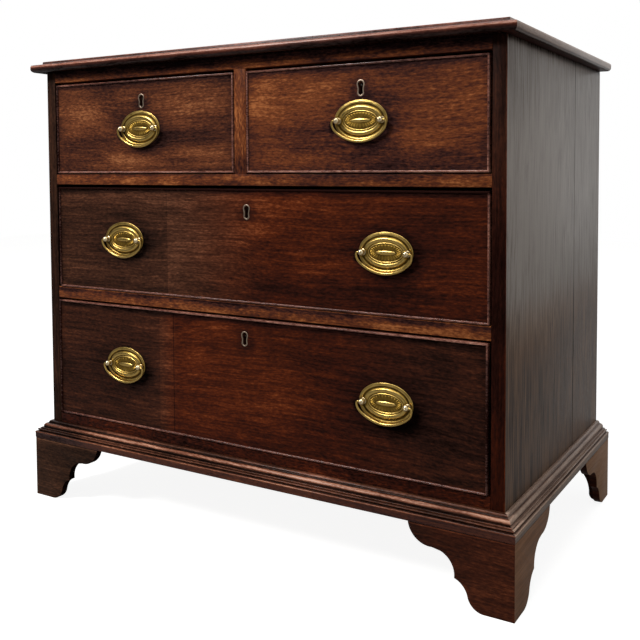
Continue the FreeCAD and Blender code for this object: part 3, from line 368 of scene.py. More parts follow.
@dataclass(frozen=True)
class Mahogany:
    """Old polished mahogany: fine fibres, flecks, broad clouds, rubbed and grimy places, painted
    light and shade.
    """

    name: str
    grain: Grain
    tones: Tones = RED_MAHOGANY
    tone: float = 0.5
    fibres: float = 0.26
    flecks: float = 0.55
    figure: float = 0.12
    clouds: float = 0.34
    roughness: float = 0.45
    polish: float = 0.04
    patches: tuple[Patch, ...] = ()
    veils: tuple[Veil, ...] = ()
    seams: tuple[Seam, ...] = ()
    frontage: Optional[Frontage] = None
    shift: float = 0.0

    def stretch(self, along: float, across: float) -> Point:
        """A scale with one value along the grain and another across it."""
        return tuple(along if axis == self.grain.value else across for axis in range(3))

    def patch_tone(self, bench: Bench, patch: Patch, ragged: Socket) -> Socket:
        """Tone that one patch adds.

        Args:
            bench: The material's bench.
            patch: The place.
            ragged: Noise that breaks up its outline.

        Returns:
            The tone's socket.
        """
        inputs = {
            "Vector": bench.place,
            "Location": tuple(value * MM for value in patch.at),
            "Scale": tuple(value * MM for value in patch.reach),
        }
        placed = bench.node("Mapping", inputs, vector_type="TEXTURE").outputs[0]
        distance = bench.node("VectorMath", {0: placed}, operation="LENGTH").outputs["Value"]
        uneven = bench.math("MULTIPLY_ADD", ragged, patch.ragged, distance)
        return bench.span(uneven, patch.core, PATCH_END, patch.tone, 0.0)

    def seam_tone(self, bench: Bench, seam: Seam) -> Socket:
        """Tone that one seam adds, past it and in its hairline.

        Args:
            bench: The material's bench.
            seam: The joint.

        Returns:
            The tone's socket.
        """
        place = bench.axis(bench.place, seam.axis)
        at = seam.at * MM
        past = bench.span(place, at - 0.3 * MM, at + 0.3 * MM, 0.0, seam.step)
        away = bench.math("ABSOLUTE", bench.math("SUBTRACT", place, at))
        return bench.math("ADD", past, bench.span(away, 0.2 * MM, seam.width * MM, -seam.line, 0.0))

    def edge_tone(self, bench: Bench, ragged: Socket) -> Socket:
        """Darkening along the border of a drawer front, part dust and part painted shade, most of
        all painted shade under its upper bead.

        Args:
            bench: The material's bench.
            ragged: Noise that breaks up its edge.

        Returns:
            The tone's socket.
        """
        border = self.frontage
        middle = ((border.left + border.right) / 2 * MM, 0.0, (border.low + border.high) / 2 * MM)
        wide, high = border.right - border.left, border.high - border.low
        half = (wide / 2 * MM, FAR * MM, high / 2 * MM)
        away = bench.vector("ABSOLUTE", bench.vector("SUBTRACT", bench.place, middle))
        inside = bench.vector("SUBTRACT", half, away)
        nearest = bench.math("MINIMUM", bench.axis(inside, 0), bench.axis(inside, 2))
        uneven = bench.math("MULTIPLY_ADD", ragged, -8 * MM, nearest)
        under_bead = bench.math("SUBTRACT", border.high * MM, bench.axis(bench.place, 2))
        # dust and painted shade along the border
        edge = bench.span(uneven, MM, border.reach * MM, border.edge, 0.0)
        # painted shade under the upper bead
        top = bench.span(under_bead, MM, border.top_reach * MM, border.top, 0.0)
        return bench.math("ADD", edge, top)

    def make(self) -> bpy.types.Material:
        """Build the material.

        Returns:
            The polished wood.
        """
        bench = Bench(bpy.data.materials.new(self.name))
        drift = bench.noise(bench.scaled((2.3, 2.3, 2.3), (self.shift,) * 3), detail=2.0)
        bend = bench.math("MULTIPLY", drift, 0.05)
        waved = bench.vector("ADD", bench.place, bend)

        def pattern(along: float, across: float, detail: float, rough: float) -> Socket:
            """Noise stretched along the grain.

            Args:
                along: Its scale along the grain.
                across: Its scale across the grain.
                detail: Its detail.
                rough: Its roughness.

            Returns:
                The noise's socket.
            """
            shifts = (self.shift, self.shift / 2, -self.shift)
            place = bench.scaled(self.stretch(along, across), shifts, waved)
            return bench.noise(place, detail=detail, roughness=rough)

        # scales along and across the grain, detail and roughness of each pattern
        clouds = pattern(5.0, 13.0, 3.0, 0.55)
        bands = pattern(2.0, 60.0, 2.0, 0.5)
        figure = pattern(20.0, 60.0, 2.0, 0.5)
        fibres = pattern(9.0, 270.0, 2.0, 0.55)
        flecks = pattern(130.0, 420.0, 2.0, 0.6)
        pores = pattern(60.0, 1500.0, 1.0, 0.5)
        ragged = bench.swing(pattern(11.0, 26.0, 3.0, 0.6), 0.75)

        parts: list[Value] = [
            self.tone,
            bench.swing(clouds, self.clouds),
            bench.swing(bands, self.clouds * 0.3),
            bench.swing(figure, self.figure),
            bench.swing(fibres, self.fibres),
            bench.swing(flecks, self.flecks),
            bench.span(pores, 0.30, 0.42, -0.10, 0.0),
        ]
        parts += [self.patch_tone(bench, patch, ragged) for patch in self.patches]
        parts += [self.seam_tone(bench, seam) for seam in self.seams]
        if self.frontage:
            parts.append(self.edge_tone(bench, ragged))
        tone = bench.total(parts)
        colour = bench.ramp(tone, self.tones.stops())
        for veil in self.veils:
            turned = bench.ramp(tone, veil.tones.stops())
            colour = bench.tint(self.patch_tone(bench, veil.patch, ragged), colour, turned)
        roughness = bench.math("ADD", bench.swing(flecks, 0.15), self.roughness)
        height = bench.total([bench.swing(fibres, 0.6), bench.swing(flecks, 0.5), pores])
        # grimy places, open joints and painted shade don't shine
        sheen = bench.span(tone, 0.0, 0.3, 0.0, self.polish)
        return bench.finish(colour, roughness, height, 0.07, polish=self.polish, sheen=sheen)


@dataclass(frozen=True)
class SecondaryWood:
    """Plain oak or pine inside the chest, dusty and unpolished."""

    name: str
    grain: Grain
    pale: Colour
    dark: Colour
    rings: float = 26.0
    cross_from: float = 9.0

    def make(self) -> bpy.types.Material:
        """Build the material.

        Returns:
            The plain wood.
        """
        bench = Bench(bpy.data.materials.new(self.name))

        def pattern(grain: Grain) -> Socket:
            """Bands and fibres along one axis.

            Args:
                grain: The axis.

            Returns:
                The streaks' socket.
            """
            wide = tuple(1.4 if axis == grain.value else self.rings for axis in range(3))
            fine = tuple(14.0 if axis == grain.value else 420.0 for axis in range(3))
            bands = bench.swing(bench.noise(bench.scaled(wide), detail=3.0), 0.8)
            fibres = bench.swing(bench.noise(bench.scaled(fine), detail=3.0), 0.55)
            return bench.math("ADD", bands, fibres)

        main = pattern(self.grain)
        behind = bench.span(bench.axis(bench.place, 1), self.cross_from, self.cross_from + MM)
        cross = pattern(Grain.ACROSS)
        streaks = bench.blend(behind, main, cross)
        dust = bench.noise(bench.place, scale=14.0, detail=4.0)
        tone = bench.total([0.5, streaks, bench.swing(dust, 0.35)])
        colour = bench.ramp(tone, [(0.0, self.dark), (1.0, self.pale)])
        roughness = bench.math("MULTIPLY_ADD", dust, 0.2, 0.6)
        return bench.finish(colour, roughness, streaks, 0.12, polish=0.25)


@dataclass(frozen=True)
class Brass:
    """Old lacquered brass: golden crests, brown in the sunk lines."""

    name: str = "brass"
    bright: Colour = shade(192, 161, 92)
    golden: Colour = shade(142, 111, 46)
    tarnish: Colour = shade(30, 19, 11)
    roughness: float = 0.30

    def make(self) -> bpy.types.Material:
        """Build the material.

        Returns:
            The lacquered metal.
        """
        bench = Bench(bpy.data.materials.new(self.name))
        # tarnish in the hollows, and painted shadow round the handle posts
        recess = bench.node("Attribute", {}, attribute_name="recess").outputs["Fac"]
        stain = bench.noise(bench.place, scale=70.0, detail=4.0, roughness=0.6)
        grit = bench.noise(bench.place, scale=900.0, detail=2.0)
        tone = bench.total([1.0, bench.math("MULTIPLY", recess, -0.85), bench.swing(stain, 0.35)])
        stops = [(0.0, self.tarnish), (0.55, self.golden), (1.0, self.bright)]
        colour = bench.ramp(tone, stops)
        dulled = bench.math("MULTIPLY", recess, 0.22)
        roughness = bench.total([self.roughness, bench.swing(stain, 0.12), dulled])
        return bench.finish(colour, roughness, grit, 0.02, metallic=1.0)


@dataclass(frozen=True)
class LockIron:
    """Dull grey lock metal."""

    name: str = "lock_iron"

    def make(self) -> bpy.types.Material:
        """Build the material.

        Returns:
            The dull metal.
        """
        bench = Bench(bpy.data.materials.new(self.name))
        stain = bench.noise(bench.place, scale=120.0, detail=4.0)
        colour = bench.ramp(stain, [(0.3, shade(30, 25, 21)), (0.7, shade(74, 69, 64))])
        roughness = bench.math("MULTIPLY_ADD", stain, 0.3, 0.35)
        return bench.finish(colour, roughness, stain, 0.08, metallic=0.9)


# ---------------------------------------------------------------- shop: meshes and pieces


class Shop:
    """Turns bmeshes into pieces that ride on their bodies, with one material for each finish."""

    def __init__(self) -> None:
        """Start with no materials made."""
        self.materials: dict[str, bpy.types.Material] = {}

    def material(self, finish: object) -> bpy.types.Material:
        """The material of a finish, made once.

        Args:
            finish: The finish.

        Returns:
            Its material.
        """
        if finish.name not in self.materials:
            self.materials[finish.name] = finish.make()
        return self.materials[finish.name]

    def piece(
        self,
        name: str,
        shape: Mesh,
        body: str,
        finish: object,
        replaced: Sequence[str] = (),
        crease: float = 35.0,
    ) -> bpy.types.Object:
        """Make an object from a bmesh.

        Args:
            name: The piece's name.
            shape: Its mesh, freed here.
            body: The body that it rides on.
            finish: Its finish.
            replaced: Nodes that it stands for.
            crease: Angle in degrees past which an edge stays sharp.

        Returns:
            The object.
        """
        bmesh.ops.recalc_face_normals(shape, faces=shape.faces)
        mesh = bpy.data.meshes.new(name)
        shape.to_mesh(mesh)
        shape.free()
        mesh.materials.append(self.material(finish))
        mesh.shade_smooth()
        mesh.set_sharp_from_angle(angle=math.radians(crease))
        made = bpy.data.objects.new(name, mesh)
        bpy.context.scene.collection.objects.link(made)
        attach(made, body)
        if replaced:
            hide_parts(*replaced)
        log.info("%s: %d faces on %s", name, len(mesh.polygons), body)
        return made

    def paint(self, node: str, finish: object) -> None:
        """Give a solid's own object a finish.

        Args:
            node: The solid's node.
            finish: Its finish.
        """
        for slot in frame["nodes"][node].material_slots:
            slot.material = self.material(finish)
        log.info("%s: painted %s", node, finish.name)

    def eased(
        self,
        node: str,
        finish: object,
        ease: float,
        facing: Sequence[tuple[Point, float, object]] = (),
    ) -> bpy.types.Object:
        """Replace a solid by a copy whose arrises are rubbed soft.

        Args:
            node: The solid's node.
            finish: Its finish.
            ease: Width of the rubbed arris in millimetres.
            facing: Directions, the least cosine to each, and the finish of faces that look there.

        Returns:
            The new piece.
        """
        flat, sharp = math.radians(0.5), math.radians(25)
        source = frame["nodes"][node]
        shape = bmesh.new()
        shape.from_mesh(source.data)
        bmesh.ops.remove_doubles(shape, verts=shape.verts, dist=2 * MERGE)
        bmesh.ops.dissolve_limit(
            shape,
            angle_limit=flat,
            verts=shape.verts,
            edges=shape.edges,
            use_dissolve_boundaries=False,
        )
        arrises = [
            edge for edge in shape.edges
            if len(edge.link_faces) == 2 and edge.calc_face_angle() > sharp
        ]
        bmesh.ops.bevel(
            shape,
            geom=arrises,
            offset=ease * MM,
            offset_type="OFFSET",
            affect="EDGES",
            segments=2,
            profile=0.5,
            material=-1,
            clamp_overlap=True,
        )
        made = self.piece(node + "_eased", shape, source["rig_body"], finish, [node])
        for number, (direction, least, other) in enumerate(facing, start=1):
            made.data.materials.append(self.material(other))
            for face in made.data.polygons:
                if face.normal.dot(Vector(direction)) > least:
                    face.material_index = number
        return made


def disc(shape: Mesh, segments: int, matrix: Matrix) -> bmesh.types.BMFace:
    """A round face of radius 1, turned, stretched and placed by a matrix, in an empty mesh."""
    bmesh.ops.create_circle(shape, cap_ends=True, radius=1.0, segments=segments, matrix=matrix)
    return shape.faces[:][0]


def drawn(shape: Mesh, face: bmesh.types.BMFace) -> bmesh.types.BMFace:
    """Extrude a face in place; the first face of a run stays as its back.

    Args:
        shape: The mesh.
        face: The end to draw out.

    Returns:
        The new end.
    """
    first = all(len(edge.link_faces) == 1 for edge in face.edges)
    made = bmesh.ops.extrude_face_region(shape, geom=[face])
    if not first:
        bmesh.ops.delete(shape, geom=[face], context="FACES_ONLY")
    return next(item for item in made["geom"] if isinstance(item, bmesh.types.BMFace))


def closed_rows(shape: Mesh, rows: Sequence[Sequence[Vector]]) -> None:
    """Join closed rows of points, the last to the first, into a ring-shaped skin.

    Args:
        shape: The mesh.
        rows: Equal rows of points in millimetres.
    """
    verts = [shape.verts.new(point * MM) for point in rows[0]]
    edges = [shape.edges.new((vert, verts[number - 1])) for number, vert in enumerate(verts)]
    for before, after in zip(rows, [*rows[1:], rows[0]]):
        made = bmesh.ops.extrude_edge_only(shape, edges=edges)["geom"]
        edges = [item for item in made if isinstance(item, bmesh.types.BMEdge) and item.is_boundary]
        for vert in (item for item in made if isinstance(item, bmesh.types.BMVert)):
            away = [(vert.co - point * MM).length for point in before]
            vert.co = after[away.index(min(away))] * MM
    bmesh.ops.remove_doubles(shape, verts=shape.verts, dist=MERGE)


# ---------------------------------------------------------------- brass


@dataclass
class OvalPlate:
    """Stamped oval plate: rim with a fine line, broad convex band, beads and a fluted oval."""

    half_width: float = 44.0
    half_height: float = 30.0
    segments: int = 224
    flutes: int = 28
    flute_depth: float = 0.75
    flute_grime: float = 0.85
    bar_half: float = 16.4
    bar_height: float = 3.5
    bar_low: float = 1.2
    bar_top: float = 3.3
    post_apart: float = 36.0
    # how far the tarnish and painted shadow round each post reach
    grime_and_shadow: float = 9.0
    # inward from the edge, height above the drawer front, tarnish, share of the flutes' depth
    rings: tuple[tuple[float, float, float, float], ...] = (
        (0.0, 0.7, 0.3, 0.0),
        (0.35, 1.15, 0.0, 0.0),
        (1.1, 1.3, 0.0, 0.0),
        (1.45, 1.05, 0.7, 0.0),
        (1.8, 1.3, 0.1, 0.0),
        (3.2, 1.4, 0.0, 0.0),
        (4.4, 1.2, 0.1, 0.0),
        (4.9, 0.7, 1.0, 0.0),
        (6.2, 0.55, 1.0, 0.0),
        (7.4, 0.6, 1.0, 0.0),
        (8.0, 1.3, 0.6, 0.0),
        (8.8, 2.15, 0.1, 0.0),
        (10.2, 2.65, 0.0, 0.0),
        (11.6, 2.75, 0.0, 0.0),
        (13.0, 2.5, 0.0, 0.0),
        (14.1, 2.0, 0.3, 0.0),
        (14.6, 1.2, 1.0, 0.0),
        (15.1, 1.2, 1.0, 0.0),
        (15.6, 1.9, 0.1, 0.0),
        (16.3, 2.2, 0.0, 0.0),
        (17.0, 1.9, 0.1, 0.0),
        (17.5, 0.9, 1.0, 0.0),
        (18.0, 0.9, 1.0, 0.0),
        (18.6, 1.65, 0.75, 1.0),
        (19.6, 2.0, 0.5, 1.0),
        (20.8, 2.0, 0.5, 1.0),
        (22.4, 1.85, 0.6, 0.8),
        (24.4, 1.6, 0.7, 0.4),
        (26.2, 1.3, 0.9, 0.0),
    )

    def shape(self, x: float, z: float) -> Mesh:
        """The plate and its bar.

        Args:
            x: Middle of the plate.
            z: Middle of the plate.

        Returns:
            The mesh.
        """
        shape = bmesh.new()
        recess = shape.verts.layers.float.new("recess")
        turn = Matrix.Rotation(math.radians(90), 4, "X")
        middle = Vector((x, FRONT_Y, z)) * MM
        size = Matrix.Diagonal((self.half_width * MM, 1.0, self.half_height * MM, 1.0))
        cap = disc(shape, self.segments, Matrix.Translation(middle) @ size @ turn)
        wide, high = self.half_width, self.half_height
        origin = Matrix.Translation(-middle)
        for inward, height, tarnish, share in self.rings:
            cap = drawn(shape, cap)
            new_wide, new_high = self.half_width - inward, self.half_height - inward
            ratio = (new_wide / wide, 1.0, new_high / high)
            bmesh.ops.scale(shape, vec=ratio, verts=cap.verts, space=origin)
            wide, high = new_wide, new_high
            for vert in cap.verts:
                angle = math.atan2((vert.co.z - middle.z) / high, (vert.co.x - middle.x) / wide)
                trough = share * (0.5 - 0.5 * math.cos(self.flutes * angle))
                vert.co.y = middle.y - (height - trough * self.flute_depth) * MM
                # the plate darkens round the posts: tarnish and painted shadow of their balls
                grime_and_shadow = self.post_tarnish_and_shadow(vert.co - middle)
                vert[recess] = max(tarnish, self.flute_grime * trough, grime_and_shadow)
        self.add_bar(shape, middle, recess)
        return shape

    def post_tarnish_and_shadow(self, offset: Vector) -> float:
        """Tarnish and painted shadow round the posts, for a point offset from the plate's middle.
        """
        away = math.hypot(abs(offset.x) / MM - self.post_apart, offset.z / MM + 1.0)
        return min(1.0, max(0.0, 2.0 * (1.0 - away / self.grime_and_shadow)))

    def add_bar(self, shape: Mesh, middle: Vector, recess: object) -> None:
        """Add the long raised bar in the fluted oval.

        Args:
            shape: The plate's mesh.
            middle: Middle of the plate in metres.
            recess: The layer of tarnish.
        """
        rise = self.bar_top - self.bar_low
        size = Matrix.Diagonal((self.bar_half * MM, rise * MM, self.bar_height * MM, 1.0))
        place = Matrix.Translation(middle - Vector((0, self.bar_low * MM, 0))) @ size
        made = bmesh.ops.create_uvsphere(
            shape, u_segments=32, v_segments=16, radius=1.0, matrix=place
        )
        for vert in made["verts"]:
            vert[recess] = 0.0


@dataclass
class Post:
    """Turned handle post: collar, neck, ball head and a small tip."""

    shank: float = 2.0
    collar: float = 4.6
    neck: float = 3.0
    ball: float = 4.8
    out: float = 8.0
    plate: float = 2.6
    nut: float = 4.6
    thick: float = 20.0
    nut_thick: float = 3.0
    ball_top: float = 72.0
    ball_steps: int = 10
    turns: int = 28

    def shape(self, x: float, z: float) -> Mesh:
        """The turned post.

        Args:
            x: Its axis.
            z: Its axis.

        Returns:
            The mesh.
        """
        shape = bmesh.new()
        recess = shape.verts.layers.float.new("recess")
        middle = Vector((x, FRONT_Y, z)) * MM

        def at(radius: float, forward: float, tarnish: float = 0.0) -> bmesh.types.BMVert:
            """A point of the half section.

            Args:
                radius: How far it is from the axis.
                forward: How far it is in front of the drawer front.
                tarnish: Its share of tarnish.

            Returns:
                The point.
            """
            vert = shape.verts.new(middle + Vector((radius, -forward, 0)) * MM)
            vert[recess] = tarnish
            return vert

        lowest = -math.degrees(math.acos(self.neck / self.ball))
        points = [
            at(0, -self.thick - self.nut_thick),
            at(self.nut, -self.thick - self.nut_thick),
            at(self.nut, -self.thick),
            at(self.shank, -self.thick),
            at(self.shank, self.plate - 1.0),
            at(self.collar, self.plate - 1.0, 0.8),
            at(self.collar, self.plate + 0.5, 0.4),
            at(self.collar - 0.5, self.plate + 0.9),
            at(self.neck, self.plate + 1.1, 1.0),
        ]
        for step in range(self.ball_steps + 1):
            share = step / self.ball_steps
            angle = math.radians(lowest + (self.ball_top - lowest) * share)
            points.append(at(self.ball * math.cos(angle), self.out + self.ball * math.sin(angle)))
        points += [at(1.5, self.out + 4.75, 0.3), at(1.1, self.out + 5.3), at(0, self.out + 5.45)]
        edges = [shape.edges.new(pair) for pair in zip(points, points[1:])]
        bmesh.ops.spin(
            shape,
            geom=points + edges,
            cent=middle,
            axis=(0, 1, 0),
            angle=math.tau,
            steps=self.turns,
            use_merge=True,
        )
        bmesh.ops.remove_doubles(shape, verts=shape.verts, dist=MERGE)
        return shape


@dataclass
class Bail:
    """Swinging half-oval handle that swells towards its middle and leans on its plate."""

    half: float = 44.8
    drop: float = 30.2
    corner: float = 3.5
    shoulder: float = 16.0
    pin: float = 32.5
    out: float = 8.0
    lean: float = 8.0
    thin: float = 1.6
    full: float = 2.3
    sides: int = 16

    def path(self) -> list[Vector]:
        """Middle line of the rod in X and Z.

        Returns:
            Its points from one pin's end to the other.
        """
        half = self.half
        drop = self.drop - self.corner
        side = half - self.shoulder
        sweep = (side**2 + drop**2 - self.shoulder**2) / (2 * (drop - self.shoulder))
        slope = math.degrees(math.atan2(self.corner + sweep - self.drop, side))
        arcs = [
            ((half - self.corner, -self.corner), self.corner, 90.0, 0.0, 6),
            ((side, -self.corner), self.shoulder, 0.0, -slope, 10),
            ((0.0, sweep - self.drop), sweep, -slope, -90.0, 18),
        ]
        points = [Vector((self.pin, 0, 0)), Vector((self.pin + 3.0, 0, 0))]
        for (x, z), radius, start, end, steps in arcs:
            for step in range(steps):
                angle = math.radians(start + (end - start) * step / steps)
                across, up = radius * math.cos(angle), radius * math.sin(angle)
                points.append(Vector((x + across, 0, z + up)))
        points.append(Vector((0, 0, -self.drop)))
        other = [Vector((-point.x, 0, point.z)) for point in points[:-1]]
        return points + other[::-1]

    def shape(self, x: float, z: float) -> Mesh:
        """The rod along its path.

        Args:
            x: Middle between the posts.
            z: The posts' axis.

        Returns:
            The mesh.
        """
        shape = bmesh.new()
        shape.verts.layers.float.new("recess")
        origin = Vector((x, FRONT_Y - self.out, z))
        path = self.path()
        frames = []
        for number, point in enumerate(path):
            ahead = path[min(number + 1, len(path) - 1)] - path[max(number - 1, 0)]
            turn = math.atan2(ahead.x, ahead.z)
            swell = min(1.0, max(0.0, -point.z / self.drop))
            radius = self.thin + (self.full - self.thin) * swell**1.5
            place = Matrix.Translation((origin + point) * MM) @ Matrix.Rotation(turn, 4, "Y")
            frames.append(place @ Matrix.Diagonal((radius * MM,) * 3 + (1.0,)))
        cap = disc(shape, self.sides, frames[0])
        for before, after in zip(frames, frames[1:]):
            cap = drawn(shape, cap)
            bmesh.ops.transform(shape, matrix=after @ before.inverted(), verts=cap.verts)
        lean = Matrix.Rotation(math.radians(self.lean), 3, "X")
        bmesh.ops.rotate(shape, cent=origin * MM, matrix=lean, verts=shape.verts)
        return shape


@dataclass
class KeyPlate:
    """Brass rim round a keyhole, with a sunk flange behind it."""

    half: float = 6.2
    waist: float = 5.2
    foot: float = 5.8
    spring: float = 3.4
    narrowest: float = -1.0
    heel: float = -7.6
    up: float = 12.4
    down: float = 12.2
    rim: float = 2.1
    proud: float = 0.4
    deep: float = 2.6
    steps: int = 18

    def outline(self) -> list[Point]:
        """Outer edge of the plate in X and Z.

        Returns:
            Its points from the left spring, clockwise as seen from the front.
        """
        points: list[Point] = []
        rise = self.up - self.spring
        radius = (self.half**2 + rise**2) / (2 * rise)
        centre = self.up - radius
        start = math.atan2(self.spring - centre, -self.half) % math.tau
        end = math.pi - start
        for step in range(self.steps + 1):
            angle = start + (end - start) * step / self.steps
            points.append((radius * math.cos(angle), 0.0, centre + radius * math.sin(angle)))
        side = [
            (self.half - 0.35, 1.6),
            (self.waist + 0.1, self.narrowest + 0.8),
            (self.waist, self.narrowest - 0.8),
            (self.waist + 0.15, -3.6),
            (self.foot - 0.1, self.heel + 1.4),
            (self.foot, self.heel),
            (self.foot - 1.0, self.heel - 1.7),
            (self.foot - 3.0, self.heel - 3.4),
        ]
        right = [(x, 0.0, z) for x, z in side]
        left = [(-x, 0.0, z) for x, z in side[::-1]]
        return points + right + [(0.0, 0.0, -self.down)] + left

    def shape(self, x: float, z: float) -> Mesh:
        """The plate with its keyhole.

        Args:
            x: Middle of the plate.
            z: Middle of the plate.

        Returns:
            The mesh.
        """
        shape = bmesh.new()
        recess = shape.verts.layers.float.new("recess")
        middle = Vector((x, FRONT_Y, z))
        points = [Vector(point) for point in self.outline()]
        inwards = []
        for number, point in enumerate(points):
            along = points[(number + 1) % len(points)] - points[number - 1]
            inwards.append(Vector((along.z, 0, -along.x)).normalized())
        section = (
            (0.0, -self.deep), (0.0, self.proud - 0.25), (0.3, self.proud),
            (self.rim - 0.4, self.proud), (self.rim, self.proud - 0.3), (self.rim, -self.deep),
        )
        rows = []
        for inward, forward in section:
            origin = middle - Vector((0, forward, 0))
            row = [origin + point + normal * inward for point, normal in zip(points, inwards)]
            rows.append(row)
        closed_rows(shape, rows)
        for vert in shape.verts:
            vert[recess] = 0.0 if vert.co.y < FRONT_Y * MM else 1.0
        return shape


# ---------------------------------------------------------------- wooden pieces


@dataclass
class CockbeadFrame:
    """Bead of four mitred strips let in round a drawer front, with a rounded nose."""

    thick: float = 3.2
    inset: float = 8.0
    proud: float = 2.5
    nose: float = 1.55
    steps: int = 9

    def section(self) -> list[tuple[float, float]]:
        """Section of the bead with its half-round nose.

        Returns:
            Points: inward from the outer edge, and forward of the drawer front.
        """
        middle = self.thick / 2
        brow = self.proud - self.nose
        nose = []
        for step in range(self.steps + 1):
            angle = math.pi * (1 - step / self.steps)
            nose.append((middle + middle * math.cos(angle), brow + self.nose * math.sin(angle)))
        return [(0.0, -self.inset), *nose, (self.thick, -self.inset)]

    def shape(self, left: float, right: float, low: float, high: float) -> Mesh:
        """The whole frame of bead.

        Args:
            left: Outer left edge.
            right: Outer right edge.
            low: Outer lower edge.
            high: Outer upper edge.

        Returns:
            The mesh.
        """
        shape = bmesh.new()
        rows = []
        for inward, forward in self.section():
            sides, heights = (left + inward, right - inward), (low + inward, high - inward)
            corners = ((0, 0), (1, 0), (1, 1), (0, 1))
            rows.append([Vector((sides[i], FRONT_Y - forward, heights[j])) for i, j in corners])
        closed_rows(shape, rows)
        return shape


@dataclass(frozen=True)
class Fittings:
    """Finishes of the linings, locks and brass that all drawers share."""

    oak: SecondaryWood = SecondaryWood(
        "oak", Grain.DEEP, shade(168, 132, 88), shade(92, 66, 40), cross_from=0.2055
    )
    iron: LockIron = LockIron()
    brass: Brass = Brass()
    # the posts are paler and brighter: painted highlight on their balls
    post_highlight_brass: Brass = Brass("post_brass", shade(216, 198, 160), shade(166, 142, 96))
    rim: Brass = Brass(
        "rim_brass", shade(158, 138, 120), shade(128, 106, 90), shade(40, 28, 20), roughness=0.42
    )


@dataclass
class Drawer:
    """One drawer: its front, bead, box and brass."""

    name: str
    left: float
    right: float
    low: float
    high: float
    handles: dict[str, float]
    handle_z: float
    key: tuple[float, float]
    finish: Mahogany
    bead: Mahogany
    plate: OvalPlate = field(default_factory=OvalPlate)
    post: Post = field(default_factory=Post)
    bail: Bail = field(default_factory=Bail)
    key_plate: KeyPlate = field(default_factory=KeyPlate)
    cockbead: CockbeadFrame = field(default_factory=CockbeadFrame)

    def build(self, shop: Shop, fittings: Fittings) -> None:
        """Dress the drawer's solids and add its bead and brass.

        Args:
            shop: Where pieces are made.
            fittings: The finishes that all drawers share.
        """
        shop.paint(self.name + "_front", self.finish)
        for part in ("_box", "_bottom"):
            shop.paint(self.name + part, fittings.oak)
        for part in ("_lock", "_lock_bolt"):
            shop.paint(self.name + part, fittings.iron)
        bead = self.cockbead.shape(self.left, self.right, self.low, self.high)
        beads = [self.name + "_cockbead"]
        plates = [self.name + "_brass_plates"]
        posts = [self.name + "_handle_posts"]
        shop.piece(self.name + "_bead", bead, self.name, self.bead, beads, 40.0)
        key_rim = self.key_plate.shape(*self.key)
        shop.piece(self.name + "_key_rim", key_rim, self.name, fittings.rim, plates, 50.0)
        apart = self.plate.post_apart
        for node, x in self.handles.items():
            plate = self.plate.shape(x, self.handle_z)
            shop.piece(node + "_plate", plate, self.name, fittings.brass, plates, 80.0)
            for side, word in ((-apart, "left"), (apart, "right")):
                post = self.post.shape(x + side, self.handle_z)
                name = f"{node}_{word}_post"
                shop.piece(name, post, self.name, fittings.post_highlight_brass, posts, 50.0)
            bail = self.bail.shape(x, self.handle_z)
            shop.piece(node + "_rod", bail, node, fittings.brass, [node], 60.0)


# ---------------------------------------------------------------- studio


@dataclass
class Lamp:
    """A soft square lamp aimed at a point; sizes here are metres and watts."""

    name: str
    at: Point
    aim: Point
    size: float
    power: float

    def hang(self) -> None:
        """Add the lamp to the scene."""
        data = bpy.data.lights.new(self.name, "AREA")
        data.size = self.size
        data.energy = self.power
        lamp = bpy.data.objects.new(self.name, data)
        lamp.location = self.at
        beam = Vector(self.aim) - Vector(self.at)
        lamp.rotation_euler = beam.to_track_quat("-Z", "Y").to_euler()
        bpy.context.scene.collection.objects.link(lamp)


